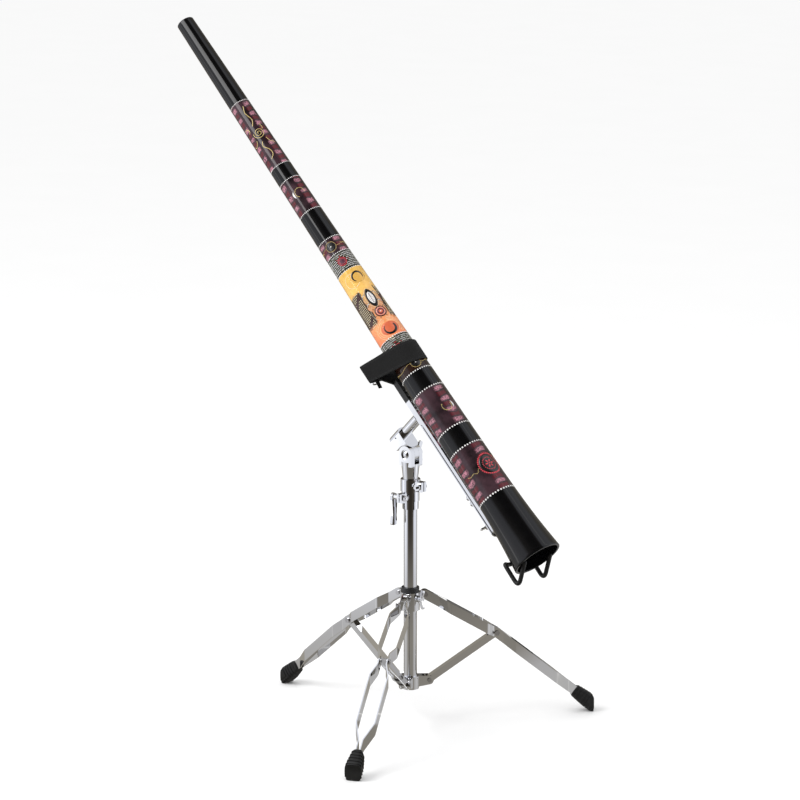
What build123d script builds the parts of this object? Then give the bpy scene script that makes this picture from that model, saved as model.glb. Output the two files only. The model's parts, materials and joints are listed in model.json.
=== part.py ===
from build123d import *
import os
from math import cos, radians, sin

# A didgeridoo held at 45 degrees on a folding tripod stand.
# Millimetres, +Z up. The instrument lies in the XZ plane with its bell towards +X.
# The shapes are drawn about the mast axis and then moved so that the origin is the
# middle of the underside of the whole object.

# ---------------------------------------------------------------- driving dimensions
# instrument
DIDGE_LENGTH = 1450.0
MOUTH_RADIUS = 19.5
MOUTH_BORE_RADIUS = 15.0
MOUTH_BORE_LENGTH = 25.0
BELL_RADIUS = 53.5
BELL_BORE_RADIUS = 47.5
BELL_BORE_LENGTH = 12.0
TUBE_WALL = 5.0
LIP_ROUND = 2.0
# outer radius at stations along the tube, measured from the mouth end
TUBE_PROFILE = [(350.0, 24.0), (700.0, 28.7), (1000.0, 36.2), (1290.0, 42.0), (1380.0, 46.6)]

# how the instrument sits over the tilter pivot
PITCH_DEG = 45.0
PIVOT_HEIGHT = 591.0
PIVOT_STATION = 1083.0
PIVOT_DROP = 133.6

# mast
BASE_TUBE_RADIUS = 14.3
BASE_TUBE_BORE = 12.7
UPPER_TUBE_RADIUS = 11.1
UPPER_TUBE_BORE = 9.6
BASE_TUBE_BOTTOM = 82.0
BASE_TUBE_TOP = 505.0
UPPER_TUBE_BOTTOM = 120.0
UPPER_TUBE_TOP = 566.0
RUN = 0.05            # radial running clearance of every turning or sliding fit

# folding legs
LEG_ANGLES = {"front": -64.0, "right": 56.0, "left": 176.0}
LEG_PIVOT = (31.5, 284.0)
LEG_KNEE = (188.0, 190.0)
LEG_END = (373.0, 40.1)
BRACE_FOOT = (39.5, 95.0)
STRIP_HEIGHT = 20.0
STRIP_THICK = 2.5
STRIP_NARROW = 5.9
STRIP_WAIST = 9.25
STRIP_WIDE = 19.75
STRIP_TOE = 4.5
BRACE_WIDTH = 15.0
BRACE_HEIGHT = 14.0
BRACE_SKIN = 1.8
PIN_RADIUS = 3.0

# hubs and collars
HUB_RADIUS = 21.0
HUB_BOTTOM = 268.6
HUB_TOP = 291.0
HUB_BUSH_TOP = 301.5
HUB_LUG_HALF = 4.35
STOP_BOTTOM = 251.4
STOP_TOP = 268.3
STOP_RADIUS = 20.0
LOWER_HUB_RADIUS = 18.5
LOWER_HUB_BOTTOM = 78.0
LOWER_HUB_TOP = 106.0
EAR_THICK = 2.5

# height clamp and memory lock
CLAMP_BOTTOM = 473.0
CLAMP_STEP = 490.0
CLAMP_TOP = 511.0
LOCK_TOP = 537.5

# tilter
DISC_RADIUS = 18.5
FORK_HALF = 17.0
SLOT_HALF = 7.0
TONGUE_HALF = 6.8
TILT_BOLT_RADIUS = 4.0
POST_OFFSET = -41.0
POST_RADIUS = 11.1
POST_BORE = 9.6

# rail under the instrument (stations along the tube, heights from its axis)
RAIL_TOP = -47.2
RAIL_BOTTOM = -60.0
RAIL_HALF = 10.0
RAIL_SKIN = 2.0
YOKE_START = 950.0
RAIL_START = 1003.0
RAIL_STEP = 1061.0
RAIL_END = 1350.0
POST_STATION = PIVOT_STATION + POST_OFFSET

# cradle
BAR_HALF = 66.0
BAR_FROM = 896.0
BAR_TO = 932.0
PLATE_THICK = 3.0
STRAP_THICK = 2.5
STRAP_RADIUS = 36.2

# hook fork at the bell
FORK_RADIUS = 3.2
SLEEVE_RADIUS = 4.6
STEM_HEIGHT = -53.5
STEM_START = 1276.0
CROSS_STATION = 1420.0
FORK_REACHES = (7.0, 9.0, 18.0)
PRONG_SIDE = 40.0

# fasteners and small parts
WING_ANGLE = -4.0
WING_HEIGHT = 280.0
STOP_ANGLE = 230.0
STOP_HEIGHT = 260.0
FOOT_RIBS = 5
FOOT_PITCH = 7.2
FOOT_COVER = 14.0
FOOT_WIDTH = 35.0
FOOT_DEPTH = 33.0
FOOT_TAIL = 34.0
FOOT_GROOVE = 2.0
FOOT_REACH = 404.0
SPLICE_STATIONS = (981.0, 994.0, 1009.0, 1021.0)
KEEPER_STATIONS = (1248.0, 1263.0)
GUIDE_STATIONS = (1303.0, 1340.0)
RAIL_SCREW_STATION = 1322.0
SADDLE_RADIUS = 39.2
DOME_RADIUS = 12.0
PAD_RADIUS = 35.2


def in_cradle(shape):
    """Places a shape drawn along the tube: X from the mouth end, Y across, Z away from the rail."""
    pitch = radians(PITCH_DEG)
    along = Vector(cos(pitch), 0, -sin(pitch))
    out = Vector(sin(pitch), 0, cos(pitch))
    mouth = Vector(0, 0, PIVOT_HEIGHT) - along * PIVOT_STATION + out * PIVOT_DROP
    return Plane(origin=mouth, x_dir=along, z_dir=out).location * shape


def on_leg(shape, side):
    """Turns a shape drawn in the XZ plane to the side of one leg."""
    return Rot(0, 0, LEG_ANGLES[side]) * shape


def span(x0, x1, y0, y1, z0, z1):
    """A box between two corners."""
    centre = Pos((x0 + x1) / 2, (y0 + y1) / 2, (z0 + z1) / 2)
    return centre * Box(x1 - x0, y1 - y0, z1 - z0)


def rod_x(radius, x0, x1, y=0.0, z=0.0):
    """A round bar along X."""
    return Pos((x0 + x1) / 2, y, z) * Rot(0, 90, 0) * Cylinder(radius, x1 - x0)


def rod_y(radius, y0, y1, x=0.0, z=0.0):
    """A round bar along Y."""
    return Pos(x, (y0 + y1) / 2, z) * Rot(90, 0, 0) * Cylinder(radius, y1 - y0)


def rod_z(radius, z0, z1, x=0.0, y=0.0):
    """A round bar along Z."""
    return Pos(x, y, (z0 + z1) / 2) * Cylinder(radius, z1 - z0)


def ring_z(outer, inner, z0, z1, x=0.0, y=0.0):
    """A ring standing along Z."""
    return rod_z(outer, z0, z1, x, y) - rod_z(inner, z0 - 1, z1 + 1, x, y)


def slab(outline, y0, y1):
    """An outline drawn in X and Z, made solid between two Y positions."""
    return extrude(Plane.XZ.offset(-y1).location * outline, y1 - y0)


def disc_hull(*rounds):
    """The outline wrapped around discs given as (x, z, radius)."""
    edges = ShapeList()
    for x, z, radius in rounds:
        edges += (Pos(x, z) * Circle(radius)).edges()
    return make_hull(edges)


def bent_path(points, reaches):
    """Straight pieces through the points; each corner has a smooth bend that starts at its reach."""
    corners = [Vector(*point) for point in points]
    pieces = []
    start = corners[0]
    for before, corner, after, reach in zip(corners, corners[1:], corners[2:], reaches):
        bend_start = corner + (before - corner).normalized() * reach
        bend_end = corner + (after - corner).normalized() * reach
        pieces += [Line(start, bend_start), Bezier(bend_start, corner, bend_end)]
        start = bend_end
    return Wire([piece.edge() for piece in pieces + [Line(start, corners[-1])]])


def bent_rod(points, reaches, radius):
    """A round bar bent along a path."""
    path = bent_path(points, reaches)
    start = Plane(origin=path @ 0, z_dir=path % 0)
    return sweep(start.location * Circle(radius), path=path)


def wing_piece(boss_radius, boss_length, wing_span, wing_rise, thick):
    """Boss with two raised wings; the boss starts at z = 0 and the wings lie in the XZ plane."""
    piece = rod_z(boss_radius, 0, boss_length)
    tip = wing_span / 2 - wing_rise * 0.35
    for sign in (-1, 1):
        outline = disc_hull(
            (sign * boss_radius * 0.4, boss_length * 0.5, boss_length * 0.45),
            (sign * tip, boss_length * 0.5 + wing_rise * 0.45, wing_rise * 0.35),
        )
        piece += slab(outline, -thick / 2, thick / 2)
    return piece


# ---------------------------------------------------------------- instrument
def didgeridoo():
    mouth = (0, MOUTH_RADIUS)
    bell = (DIDGE_LENGTH, BELL_RADIUS)
    bell_bore = (DIDGE_LENGTH - BELL_BORE_LENGTH, BELL_BORE_RADIUS)
    inner = [(x, r - TUBE_WALL) for x, r in TUBE_PROFILE]
    wall = (
        Spline(mouth, *TUBE_PROFILE, bell)
        + Line(bell, (DIDGE_LENGTH, BELL_BORE_RADIUS))
        + Line((DIDGE_LENGTH, BELL_BORE_RADIUS), bell_bore)
        + Spline((MOUTH_BORE_LENGTH, MOUTH_BORE_RADIUS), *inner, bell_bore)
        + Line((MOUTH_BORE_LENGTH, MOUTH_BORE_RADIUS), (0, MOUTH_BORE_RADIUS))
        + Line((0, MOUTH_BORE_RADIUS), mouth)
    )
    tube = revolve(Plane.XZ.location * make_face(wall), Axis.X, 360)
    rims = tube.edges().filter_by(GeomType.CIRCLE)
    ends = rims.group_by(Axis.X)[0] + rims.group_by(Axis.X)[-1]
    return fillet(ends, LIP_ROUND)


# ---------------------------------------------------------------- mast
def base_tube():
    return ring_z(BASE_TUBE_RADIUS, BASE_TUBE_BORE, BASE_TUBE_BOTTOM, BASE_TUBE_TOP)


def upper_tube():
    return ring_z(UPPER_TUBE_RADIUS, UPPER_TUBE_BORE, UPPER_TUBE_BOTTOM, UPPER_TUBE_TOP)


def height_clamp():
    clamp = rod_z(17.3, CLAMP_BOTTOM, CLAMP_STEP) + rod_z(19.0, CLAMP_STEP, CLAMP_TOP)
    clamp += span(-7.0, 7.0, -35.0, 0.0, CLAMP_STEP, CLAMP_TOP - 2)
    clamp -= rod_z(BASE_TUBE_RADIUS + RUN, CLAMP_BOTTOM - 1, CLAMP_TOP - 3)
    clamp -= rod_z(UPPER_TUBE_RADIUS + 0.5, CLAMP_BOTTOM, CLAMP_TOP + 1)
    clamp -= span(-1.2, 1.2, -36.0, -10.0, CLAMP_BOTTOM - 1, CLAMP_TOP + 1)
    return clamp - rod_x(PIN_RADIUS + RUN, -8, 8, -27, 500)


def clamp_liner():
    liner = rod_z(BASE_TUBE_BORE - RUN, 450, BASE_TUBE_TOP)
    liner += rod_z(BASE_TUBE_RADIUS - RUN, BASE_TUBE_TOP + 0.1, CLAMP_TOP - 3.1)
    liner += rod_z(BASE_TUBE_BORE - RUN, BASE_TUBE_TOP - 1, BASE_TUBE_TOP + 1)
    return liner - rod_z(UPPER_TUBE_RADIUS + RUN, 449, CLAMP_TOP)


def clamp_nut():
    nut = Pos(10.0, -27, 500) * Rot(0, 90, 0) * extrude(RegularPolygon(6.5, 6), 2.7, both=True)
    return nut - rod_x(PIN_RADIUS + RUN, 6, 14, -27, 500)


def clamp_lever():
    grip = disc_hull((-27, 500, 7.5), (-27, 492, 8.0))
    grip += disc_hull((-27, 492, 8.0), (-27, 458, 5.5))
    grip += disc_hull((-30.5, 442, 4.0), (-23.5, 442, 4.0), (-27, 458, 5.5))
    lever = extrude(Plane.YZ.offset(-27.0).location * grip, 7.0)
    lever += rod_x(6.0, -21.0, -8.0, -27, 500)
    return lever + rod_x(PIN_RADIUS, -8.5, 13.5, -27, 500)


def memory_lock():
    lock = rod_z(21.0, CLAMP_TOP + 0.3, LOCK_TOP) + span(0, 38, -8, 8, 514, 535)
    lock -= rod_z(UPPER_TUBE_RADIUS + RUN, CLAMP_TOP, LOCK_TOP + 1)
    lock -= span(9, 39, -1.2, 1.2, CLAMP_TOP, LOCK_TOP + 1)
    return lock - rod_y(PIN_RADIUS + RUN, -9, 9, 29, 524.5)


def memory_lock_screw():
    screw = rod_y(PIN_RADIUS, -8.2, 11.5, 29, 524.5) + rod_y(7.5, -12.5, -8.1, 29, 524.5)
    return screw + span(26.4, 31.6, -18.5, -12.5, 521.9, 527.1)


def memory_lock_nut():
    nut = Pos(29, 10.8, 524.5) * Rot(90, 0, 0) * extrude(RegularPolygon(6.5, 6), 2.6, both=True)
    return nut - rod_y(PIN_RADIUS + RUN, 7, 14, 29, 524.5)


# ---------------------------------------------------------------- leg gear
def lower_hub():
    hub = rod_z(LOWER_HUB_RADIUS, LOWER_HUB_BOTTOM, LOWER_HUB_TOP)
    x, z = BRACE_FOOT
    gap = BRACE_WIDTH / 2 + 0.3
    ear = disc_hull((x, z, 9.5), (13, LOWER_HUB_TOP - 9.5, 9.5), (13, LOWER_HUB_BOTTOM + 12, 8))
    for side in LEG_ANGLES:
        pair = slab(ear, gap, gap + EAR_THICK) + slab(ear, -gap - EAR_THICK, -gap)
        hub += on_leg(pair - rod_y(PIN_RADIUS + RUN, -20, 20, x, z), side)
    return hub - rod_z(BASE_TUBE_RADIUS + RUN, BASE_TUBE_BOTTOM, LOWER_HUB_TOP + 1)


def hinge_pin(x, z, half):
    """A headed pin along Y whose heads sit outside two plates."""
    pin = rod_y(PIN_RADIUS, -half - 1.5, half + 1.5, x, z)
    for sign in (-1, 1):
        inner, outer = sign * (half + 0.1), sign * (half + 2.2)
        pin += rod_y(PIN_RADIUS + 1.8, min(inner, outer), max(inner, outer), x, z)
    return pin


def lower_hub_pins():
    x, z = BRACE_FOOT
    half = BRACE_WIDTH / 2 + 0.3 + EAR_THICK
    return [on_leg(hinge_pin(x, z, half), side) for side in LEG_ANGLES]


def leg_hub():
    hub = rod_z(HUB_RADIUS, HUB_BOTTOM, HUB_TOP)
    x, z = LEG_PIVOT
    lug = disc_hull((x, z, 8.5), (14, HUB_TOP - 7, 6), (14, HUB_BOTTOM + 7, 6))
    for side in LEG_ANGLES:
        plate = slab(lug, -HUB_LUG_HALF, HUB_LUG_HALF)
        hub += on_leg(plate - rod_y(PIN_RADIUS + RUN, -20, 20, x, z), side)
    hub += Rot(0, 0, WING_ANGLE) * rod_x(8.0, 0, 27.0, 0, WING_HEIGHT)
    hub -= Rot(0, 0, WING_ANGLE) * rod_x(PIN_RADIUS + RUN, 0, 28.0, 0, WING_HEIGHT)
    return hub - rod_z(BASE_TUBE_RADIUS + RUN, HUB_BOTTOM - 1, HUB_TOP + 1)


def leg_hub_bushing():
    return ring_z(19.0, BASE_TUBE_RADIUS + RUN, HUB_TOP, HUB_BUSH_TOP)


def leg_hub_pins():
    x, z = LEG_PIVOT
    half = STRIP_NARROW + STRIP_THICK / 2
    return [on_leg(hinge_pin(x, z, half), side) for side in LEG_ANGLES]


def leg_hub_wing_bolt():
    head = Pos(27.4, 0, WING_HEIGHT) * Rot(0, 90, 0) * wing_piece(6.5, 9.0, 42.0, 13.0, 4.0)
    bolt = head + rod_x(PIN_RADIUS, BASE_TUBE_RADIUS + 0.5, 28.0, 0, WING_HEIGHT)
    return Rot(0, 0, WING_ANGLE) * bolt


def stop_collar():
    collar = rod_z(STOP_RADIUS, STOP_BOTTOM, STOP_TOP)
    collar += Rot(0, 0, STOP_ANGLE) * rod_x(7.0, 0, 25.0, 0, STOP_HEIGHT)
    collar -= Rot(0, 0, STOP_ANGLE) * rod_x(PIN_RADIUS + RUN, 0, 26.0, 0, STOP_HEIGHT)
    return collar - rod_z(BASE_TUBE_RADIUS + RUN, STOP_BOTTOM - 1, STOP_TOP + 1)


def stop_collar_screw():
    screw = rod_x(PIN_RADIUS, BASE_TUBE_RADIUS + 0.2, 26.0, 0, STOP_HEIGHT)
    screw += rod_x(5.5, 25.2, 31.0, 0, STOP_HEIGHT)
    screw -= span(29.0, 32.0, -0.8, 0.8, STOP_HEIGHT - 6, STOP_HEIGHT + 6)
    return Rot(0, 0, STOP_ANGLE) * screw


def leg_strip(side, sign):
    """One bent flat strip of a leg: its side view crossed with its plan view."""
    low, high = STRIP_NARROW, STRIP_WIDE
    side_view = trace(Polyline(LEG_PIVOT, LEG_KNEE, LEG_END), line_width=STRIP_HEIGHT)
    side_view += Pos(*LEG_PIVOT) * Circle(STRIP_HEIGHT / 2)
    plan = FilletPolyline(
        (15, low), (60, low), (84, high), (166, high), (180, STRIP_WAIST), (204, STRIP_WAIST),
        (226, high), (318, high), (350, STRIP_TOE), (400, STRIP_TOE), radius=8,
    )
    band = trace(plan, line_width=STRIP_THICK)
    strip = slab(side_view, 0, 40) & extrude(band, 400)
    strip -= rod_y(PIN_RADIUS + RUN, 0, 40, *LEG_PIVOT)
    strip -= rod_y(PIN_RADIUS + RUN, 0, 40, *LEG_KNEE)
    strip -= rod_y(2.0 + RUN, 0, 40, *toe_pin())
    if sign < 0:
        strip = mirror(strip, Plane.XZ)
    return on_leg(strip, side)


def toe_pin():
    """Where the pin through the toes of both strips sits, inside the rubber foot."""
    x, z = LEG_END
    return x - 8.0, z + 6.5


def leg_rivets(side):
    """Two short knee rivets and the toe pin of one leg."""
    x, z = LEG_KNEE
    inner = STRIP_WAIST - STRIP_THICK / 2
    outer = STRIP_WAIST + STRIP_THICK / 2
    knee = rod_y(PIN_RADIUS, inner + 0.1, outer + 1, x, z)
    knee += rod_y(PIN_RADIUS + 2.5, outer + 0.1, outer + 2.4, x, z)
    toe_inner = STRIP_TOE - STRIP_THICK / 2 - 0.1
    toe_outer = STRIP_TOE + STRIP_THICK / 2
    toe = rod_y(2.0, -toe_outer, toe_outer, *toe_pin()) + rod_y(4.0, -toe_inner, toe_inner, *toe_pin())
    return [on_leg(piece, side) for piece in (knee, mirror(knee, Plane.XZ), toe)]


def foot_block(top, start, width, depth, corner, length):
    """A rounded block of a rubber foot that starts a given way down the foot."""
    return extrude(top.offset(start).location * RectangleRounded(width, depth, corner), length)


def foot_grooves(top, start):
    """Grooves cut in a foot's heel: two across its upper face and three along each side."""
    reach, side = FOOT_GROOVE, FOOT_WIDTH / 2
    grooves = Part()
    for down in (4.0, 11.0):
        grooves += Pos(0, FOOT_DEPTH / 2, start + down) * Box(FOOT_WIDTH + 2, 2 * reach, reach)
    for height in (-8.0, 0.0, 8.0):
        for face in (-side, side):
            grooves += Pos(face, height, start + 24) * Box(2 * reach, reach, 40)
    return top.location * grooves


def rubber_foot(side):
    """Ribbed rubber foot pushed over the toes of a leg, cut flat by the floor."""
    x, z = LEG_END
    fall = Vector(x - LEG_KNEE[0], 0, z - LEG_KNEE[1]).normalized()
    top = Plane(origin=Vector(x, 0, z) - fall * FOOT_COVER, x_dir=(0, 1, 0), z_dir=fall)
    foot = Part()
    for step in range(FOOT_RIBS):
        grow = step / (FOOT_RIBS - 1)
        width, depth = FOOT_WIDTH - 14 * (1 - grow), FOOT_DEPTH - 7 * (1 - grow)
        start = step * FOOT_PITCH
        foot += foot_block(top, start, width, depth, 6, 4.8)
        foot += foot_block(top, start, width - 2 * FOOT_GROOVE, depth - 2 * FOOT_GROOVE, 4, FOOT_PITCH + 0.1)
    heel = FOOT_RIBS * FOOT_PITCH
    foot += foot_block(top, heel, FOOT_WIDTH, FOOT_DEPTH, 6, FOOT_TAIL)
    foot -= foot_grooves(top, heel)
    pocket = top.offset(-5).location * Rectangle(2 * STRIP_TOE + STRIP_THICK + 0.4, STRIP_HEIGHT + 0.8)
    foot -= extrude(pocket, FOOT_COVER + 5.5)
    foot -= span(0, 600, -60, 60, -80, 0)
    foot -= span(FOOT_REACH, 600, -60, 60, -80, 120)
    return on_leg(foot, side)


def brace(side):
    """Channel-section brace between the lower hub and the knee of a leg."""
    start = Vector(BRACE_FOOT[0], 0, BRACE_FOOT[1])
    reach = Vector(LEG_KNEE[0], 0, LEG_KNEE[1]) - start
    length = reach.length
    half = BRACE_WIDTH / 2
    bar = slab(Pos(length / 2, 0) * SlotCenterToCenter(length, BRACE_HEIGHT), -half, half)
    web = BRACE_HEIGHT / 2 - BRACE_SKIN
    bar -= span(-20, length + 20, BRACE_SKIN - half, half - BRACE_SKIN, -20, web)
    for x in (0, length):
        bar -= rod_y(PIN_RADIUS + RUN, -20, 20, x, 0)
    upward = reach.cross(Vector(0, 1, 0))
    if upward.Z < 0:
        upward = upward * -1
    return on_leg(Plane(origin=start, x_dir=reach, z_dir=upward).location * bar, side)


# ---------------------------------------------------------------- tilter
def tilter_fork():
    z = PIVOT_HEIGHT
    fork = Pos(0, 0, (LOCK_TOP + 0.3 + 575) / 2) * Cone(16.0, 20.0, 575 - LOCK_TOP - 0.3)
    fork += slab(disc_hull((0, z, DISC_RADIUS), (0, 570, DISC_RADIUS)), -FORK_HALF, FORK_HALF) & span(
        -30, 30, -30, 30, 566, 620
    )
    fork -= span(-30, 30, -SLOT_HALF, SLOT_HALF, z - DISC_RADIUS - 1, 620)
    fork -= rod_z(UPPER_TUBE_RADIUS + RUN, 530, UPPER_TUBE_TOP + 0.5)
    fork -= rod_y(11.0, -FORK_HALF - 1, -FORK_HALF + 2.5, 0, z)
    return fork - rod_y(TILT_BOLT_RADIUS + RUN, -30, 30, 0, z)


def tilter_block():
    """Block beside the tilter discs: it carries the post and ends in the tongue of the fork."""
    s, h = PIVOT_STATION, -PIVOT_DROP
    block = span(s - 55, s - 5, -18, 18, h - 14, h + 20)
    block = fillet(block.edges().filter_by(Axis.Z), 12)
    block -= slab(disc_hull((s, h, DISC_RADIUS + 1.8), (s, h - 30, DISC_RADIUS + 1.8)), -30, 30)
    tongue = disc_hull((s, h, DISC_RADIUS), (s - 24, h - 4, 9), (s - 24, h + 8, 9))
    block += slab(tongue, -TONGUE_HALF, TONGUE_HALF)
    block -= rod_y(TILT_BOLT_RADIUS + RUN, -30, 30, s, h)
    block -= rod_z(POST_RADIUS + RUN, h - 10, h + 30, POST_STATION)
    return in_cradle(block - rod_y(2.5 + RUN, -30, 0, POST_STATION, h + 4))


def tilter_set_screw():
    h = -PIVOT_DROP + 4
    screw = rod_y(2.5, -17.6, -POST_RADIUS - 0.2, POST_STATION, h)
    socket = Plane.XZ.offset(15.0).location * Pos(POST_STATION, h) * RegularPolygon(1.5, 6)
    return in_cradle(screw - extrude(socket, 4))


def tilter_bolt():
    z = PIVOT_HEIGHT
    bolt = rod_y(TILT_BOLT_RADIUS, -FORK_HALF, 33, 0, z)
    face = -FORK_HALF + 2.5
    dome = Pos(0, face + DOME_RADIUS - 4, z) * Sphere(DOME_RADIUS)
    dome = dome & span(-30, 30, -40, face - 0.05, z - 30, z + 30)
    return bolt + dome


def tilter_washer():
    z = PIVOT_HEIGHT
    return rod_y(11.0, FORK_HALF + 0.1, FORK_HALF + 1.9, 0, z) - rod_y(TILT_BOLT_RADIUS + RUN, 0, 30, 0, z)


def tilter_wing_nut():
    nut = Pos(0, FORK_HALF + 2.3, PIVOT_HEIGHT) * Rot(-90, 0, 0) * Rot(0, 0, 90) * wing_piece(
        8.0, 10.0, 46.0, 14.0, 4.5
    )
    return nut - rod_y(TILT_BOLT_RADIUS + RUN, 0, 40, 0, PIVOT_HEIGHT)


# ---------------------------------------------------------------- post and rail
def post_tube():
    low = -PIVOT_DROP - 9.8
    return in_cradle(ring_z(POST_RADIUS, POST_BORE, low, RAIL_BOTTOM - 0.2, POST_STATION))


def post_plug():
    s = POST_STATION
    plug = rod_z(POST_BORE - RUN, RAIL_BOTTOM - 25, RAIL_BOTTOM - 0.2, s)
    inner = RAIL_HALF - RAIL_SKIN - 0.2
    plug += span(s - 10, s + 10, -inner, inner, RAIL_BOTTOM - 8, RAIL_TOP - RAIL_SKIN - 0.1) & rod_z(
        POST_BORE - RUN, RAIL_BOTTOM - 25, RAIL_TOP, s
    )
    return in_cradle(plug - rod_z(2.5 + RUN, RAIL_BOTTOM - 20, RAIL_TOP, s))


def rail_screws():
    """Low button-head screws down through the web: four in the splice, one in the post."""
    screws = []
    for s in (*SPLICE_STATIONS, POST_STATION):
        screw = rod_z(2.5, RAIL_TOP - 11.0, RAIL_TOP + 1, s)
        screws.append(in_cradle(screw + rod_z(4.5, RAIL_TOP + 0.1, RAIL_TOP + 2.1, s)))
    return screws


def rail_channel():
    rail = span(RAIL_START, RAIL_END, -RAIL_HALF, RAIL_HALF, RAIL_BOTTOM, RAIL_TOP)
    inner = RAIL_HALF - RAIL_SKIN
    rail -= span(RAIL_START - 1, RAIL_END + 1, -inner, inner, RAIL_BOTTOM - 1, RAIL_TOP - RAIL_SKIN)
    low = disc_hull((RAIL_STEP + 6, -60.5, 6), (RAIL_END + 20, -60.5, 6))
    low += span_face(RAIL_STEP, RAIL_END + 20, -70, -60.5)
    rail -= slab(low, -RAIL_HALF - 1, RAIL_HALF + 1)
    rail = rail & rail_end(RAIL_END)
    for s in SPLICE_STATIONS[2:]:
        rail -= rod_z(2.5 + RUN, RAIL_BOTTOM, RAIL_TOP + 1, s)
    rail -= rod_z(2.5 + RUN, RAIL_BOTTOM, RAIL_TOP + 1, POST_STATION)
    for s in KEEPER_STATIONS:
        rail -= rod_z(2.5 + RUN, RAIL_BOTTOM, RAIL_TOP + 1, s)
    return in_cradle(rail)


def span_face(x0, x1, z0, z1):
    """A rectangle between two corners."""
    return Pos((x0 + x1) / 2, (z0 + z1) / 2) * Rectangle(x1 - x0, z1 - z0)


def rail_end(end):
    """A long slab under the tube with a half-round end, to shape the ends of the rails."""
    outline = span_face(0, end - RAIL_HALF, -RAIL_HALF, RAIL_HALF)
    outline += Pos(end - RAIL_HALF, 0) * Circle(RAIL_HALF)
    return extrude(Plane.XY.offset(-100).location * outline, 100)


def keeper_strip():
    strip = span(RAIL_STEP + 1, RAIL_END + 2, -RAIL_HALF, RAIL_HALF, RAIL_BOTTOM, RAIL_BOTTOM + 2.5)
    strip = strip & rail_end(RAIL_END + 2)
    for s in KEEPER_STATIONS:
        strip -= rod_z(2.5 + RUN, RAIL_BOTTOM - 1, RAIL_TOP, s)
    return in_cradle(strip - rod_z(2.5 + RUN, RAIL_BOTTOM - 1, RAIL_TOP, RAIL_SCREW_STATION))


def rail_spacer(first, last):
    """Block that holds the keeper strip off the web of the rail."""
    inner = RAIL_HALF - RAIL_SKIN - 0.2
    block = span(first, last, -inner, inner, RAIL_BOTTOM + 2.6, RAIL_TOP - RAIL_SKIN - 0.1)
    for s in KEEPER_STATIONS:
        block -= rod_z(2.5 + RUN, RAIL_BOTTOM, RAIL_TOP, s)
    return in_cradle(block)


def rail_guides():
    """Two blocks in which the stem of the hook fork slides."""
    inner = RAIL_HALF - RAIL_SKIN - 0.2
    guides = []
    for s in GUIDE_STATIONS:
        block = span(s - 7, s + 7, -inner, inner, RAIL_BOTTOM + 2.6, RAIL_TOP - RAIL_SKIN - 0.1)
        guides.append(in_cradle(block - rod_x(FORK_RADIUS + RUN, s - 8, s + 8, 0, STEM_HEIGHT)))
    return guides


def keeper_bolts():
    bolts = []
    for s in KEEPER_STATIONS:
        bolt = rod_z(2.5, RAIL_BOTTOM - 6, RAIL_TOP + 1, s)
        bolts.append(in_cradle(bolt + rod_z(5.0, RAIL_TOP + 0.1, RAIL_TOP + 1.6, s)))
    return bolts


def keeper_nuts():
    """Round domed nuts under the keeper strip."""
    nuts = []
    for s in KEEPER_STATIONS:
        top = RAIL_BOTTOM - 0.1
        nut = rod_z(6.0, top - 7, top, s) + Pos(s, 0, top - 6.5) * Sphere(5.0)
        nuts.append(in_cradle(nut - rod_z(2.5 + RUN, top - 6.2, top + 1, s)))
    return nuts


def rail_wing_screw():
    s = RAIL_SCREW_STATION
    head = Pos(s, 0, RAIL_BOTTOM - 1.2) * Rot(180, 0, 0) * Rot(0, 0, 90) * wing_piece(
        5.5, 8.0, 34.0, 12.0, 3.0
    )
    tip = STEM_HEIGHT - FORK_RADIUS - 0.5
    return in_cradle(head + rod_z(2.5, RAIL_BOTTOM - 2, tip, s))


# ---------------------------------------------------------------- cradle
def yoke():
    """Steel yoke: a channel that carries on from the rail and a flared plate under the strap."""
    arm = span(YOKE_START, RAIL_START - 0.3, -RAIL_HALF, RAIL_HALF, RAIL_BOTTOM, RAIL_TOP)
    inner = RAIL_HALF - RAIL_SKIN
    arm -= span(YOKE_START + 4, RAIL_START, -inner, inner, RAIL_BOTTOM - 1, RAIL_TOP - RAIL_SKIN)
    for s in SPLICE_STATIONS[:2]:
        arm -= rod_z(2.5 + RUN, RAIL_BOTTOM, RAIL_TOP + 1, s)
    bar = span_face(BAR_FROM, BAR_TO, -BAR_HALF, BAR_HALF)
    bar = fillet(bar.vertices(), 8)
    flare = Polyline(
        (BAR_TO - 12, 46), (BAR_TO + 2, 42), (YOKE_START + 4, RAIL_HALF), (YOKE_START + 4, -RAIL_HALF),
        (BAR_TO + 2, -42), (BAR_TO - 12, -46), close=True,
    )
    plate = bar + make_face(flare)
    return in_cradle(arm + extrude(Plane.XY.offset(RAIL_BOTTOM).location * plate, PLATE_THICK))


def splice_block():
    inner = RAIL_HALF - RAIL_SKIN - 0.2
    block = span(974, 1027, -inner, inner, RAIL_BOTTOM + 0.5, RAIL_TOP - RAIL_SKIN - 0.1)
    for s in SPLICE_STATIONS:
        block -= rod_z(2.5 + RUN, RAIL_BOTTOM, RAIL_TOP, s)
    return in_cradle(block)


def saddle_block():
    base = RAIL_BOTTOM + PLATE_THICK + 0.1
    block = span(BAR_FROM + 3, BAR_TO - 3, -38, 38, base, -20)
    block = fillet(block.edges().filter_by(Axis.X).group_by(Axis.Z)[0], 5)
    return in_cradle(block - rod_x(SADDLE_RADIUS, 880, 960))


def saddle_pad():
    pad = rod_x(SADDLE_RADIUS - 0.1, BAR_FROM + 1, BAR_TO - 1) - rod_x(PAD_RADIUS, 880, 960)
    return in_cradle(pad & span(880, 960, -40, 40, -60, -19.5))


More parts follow.
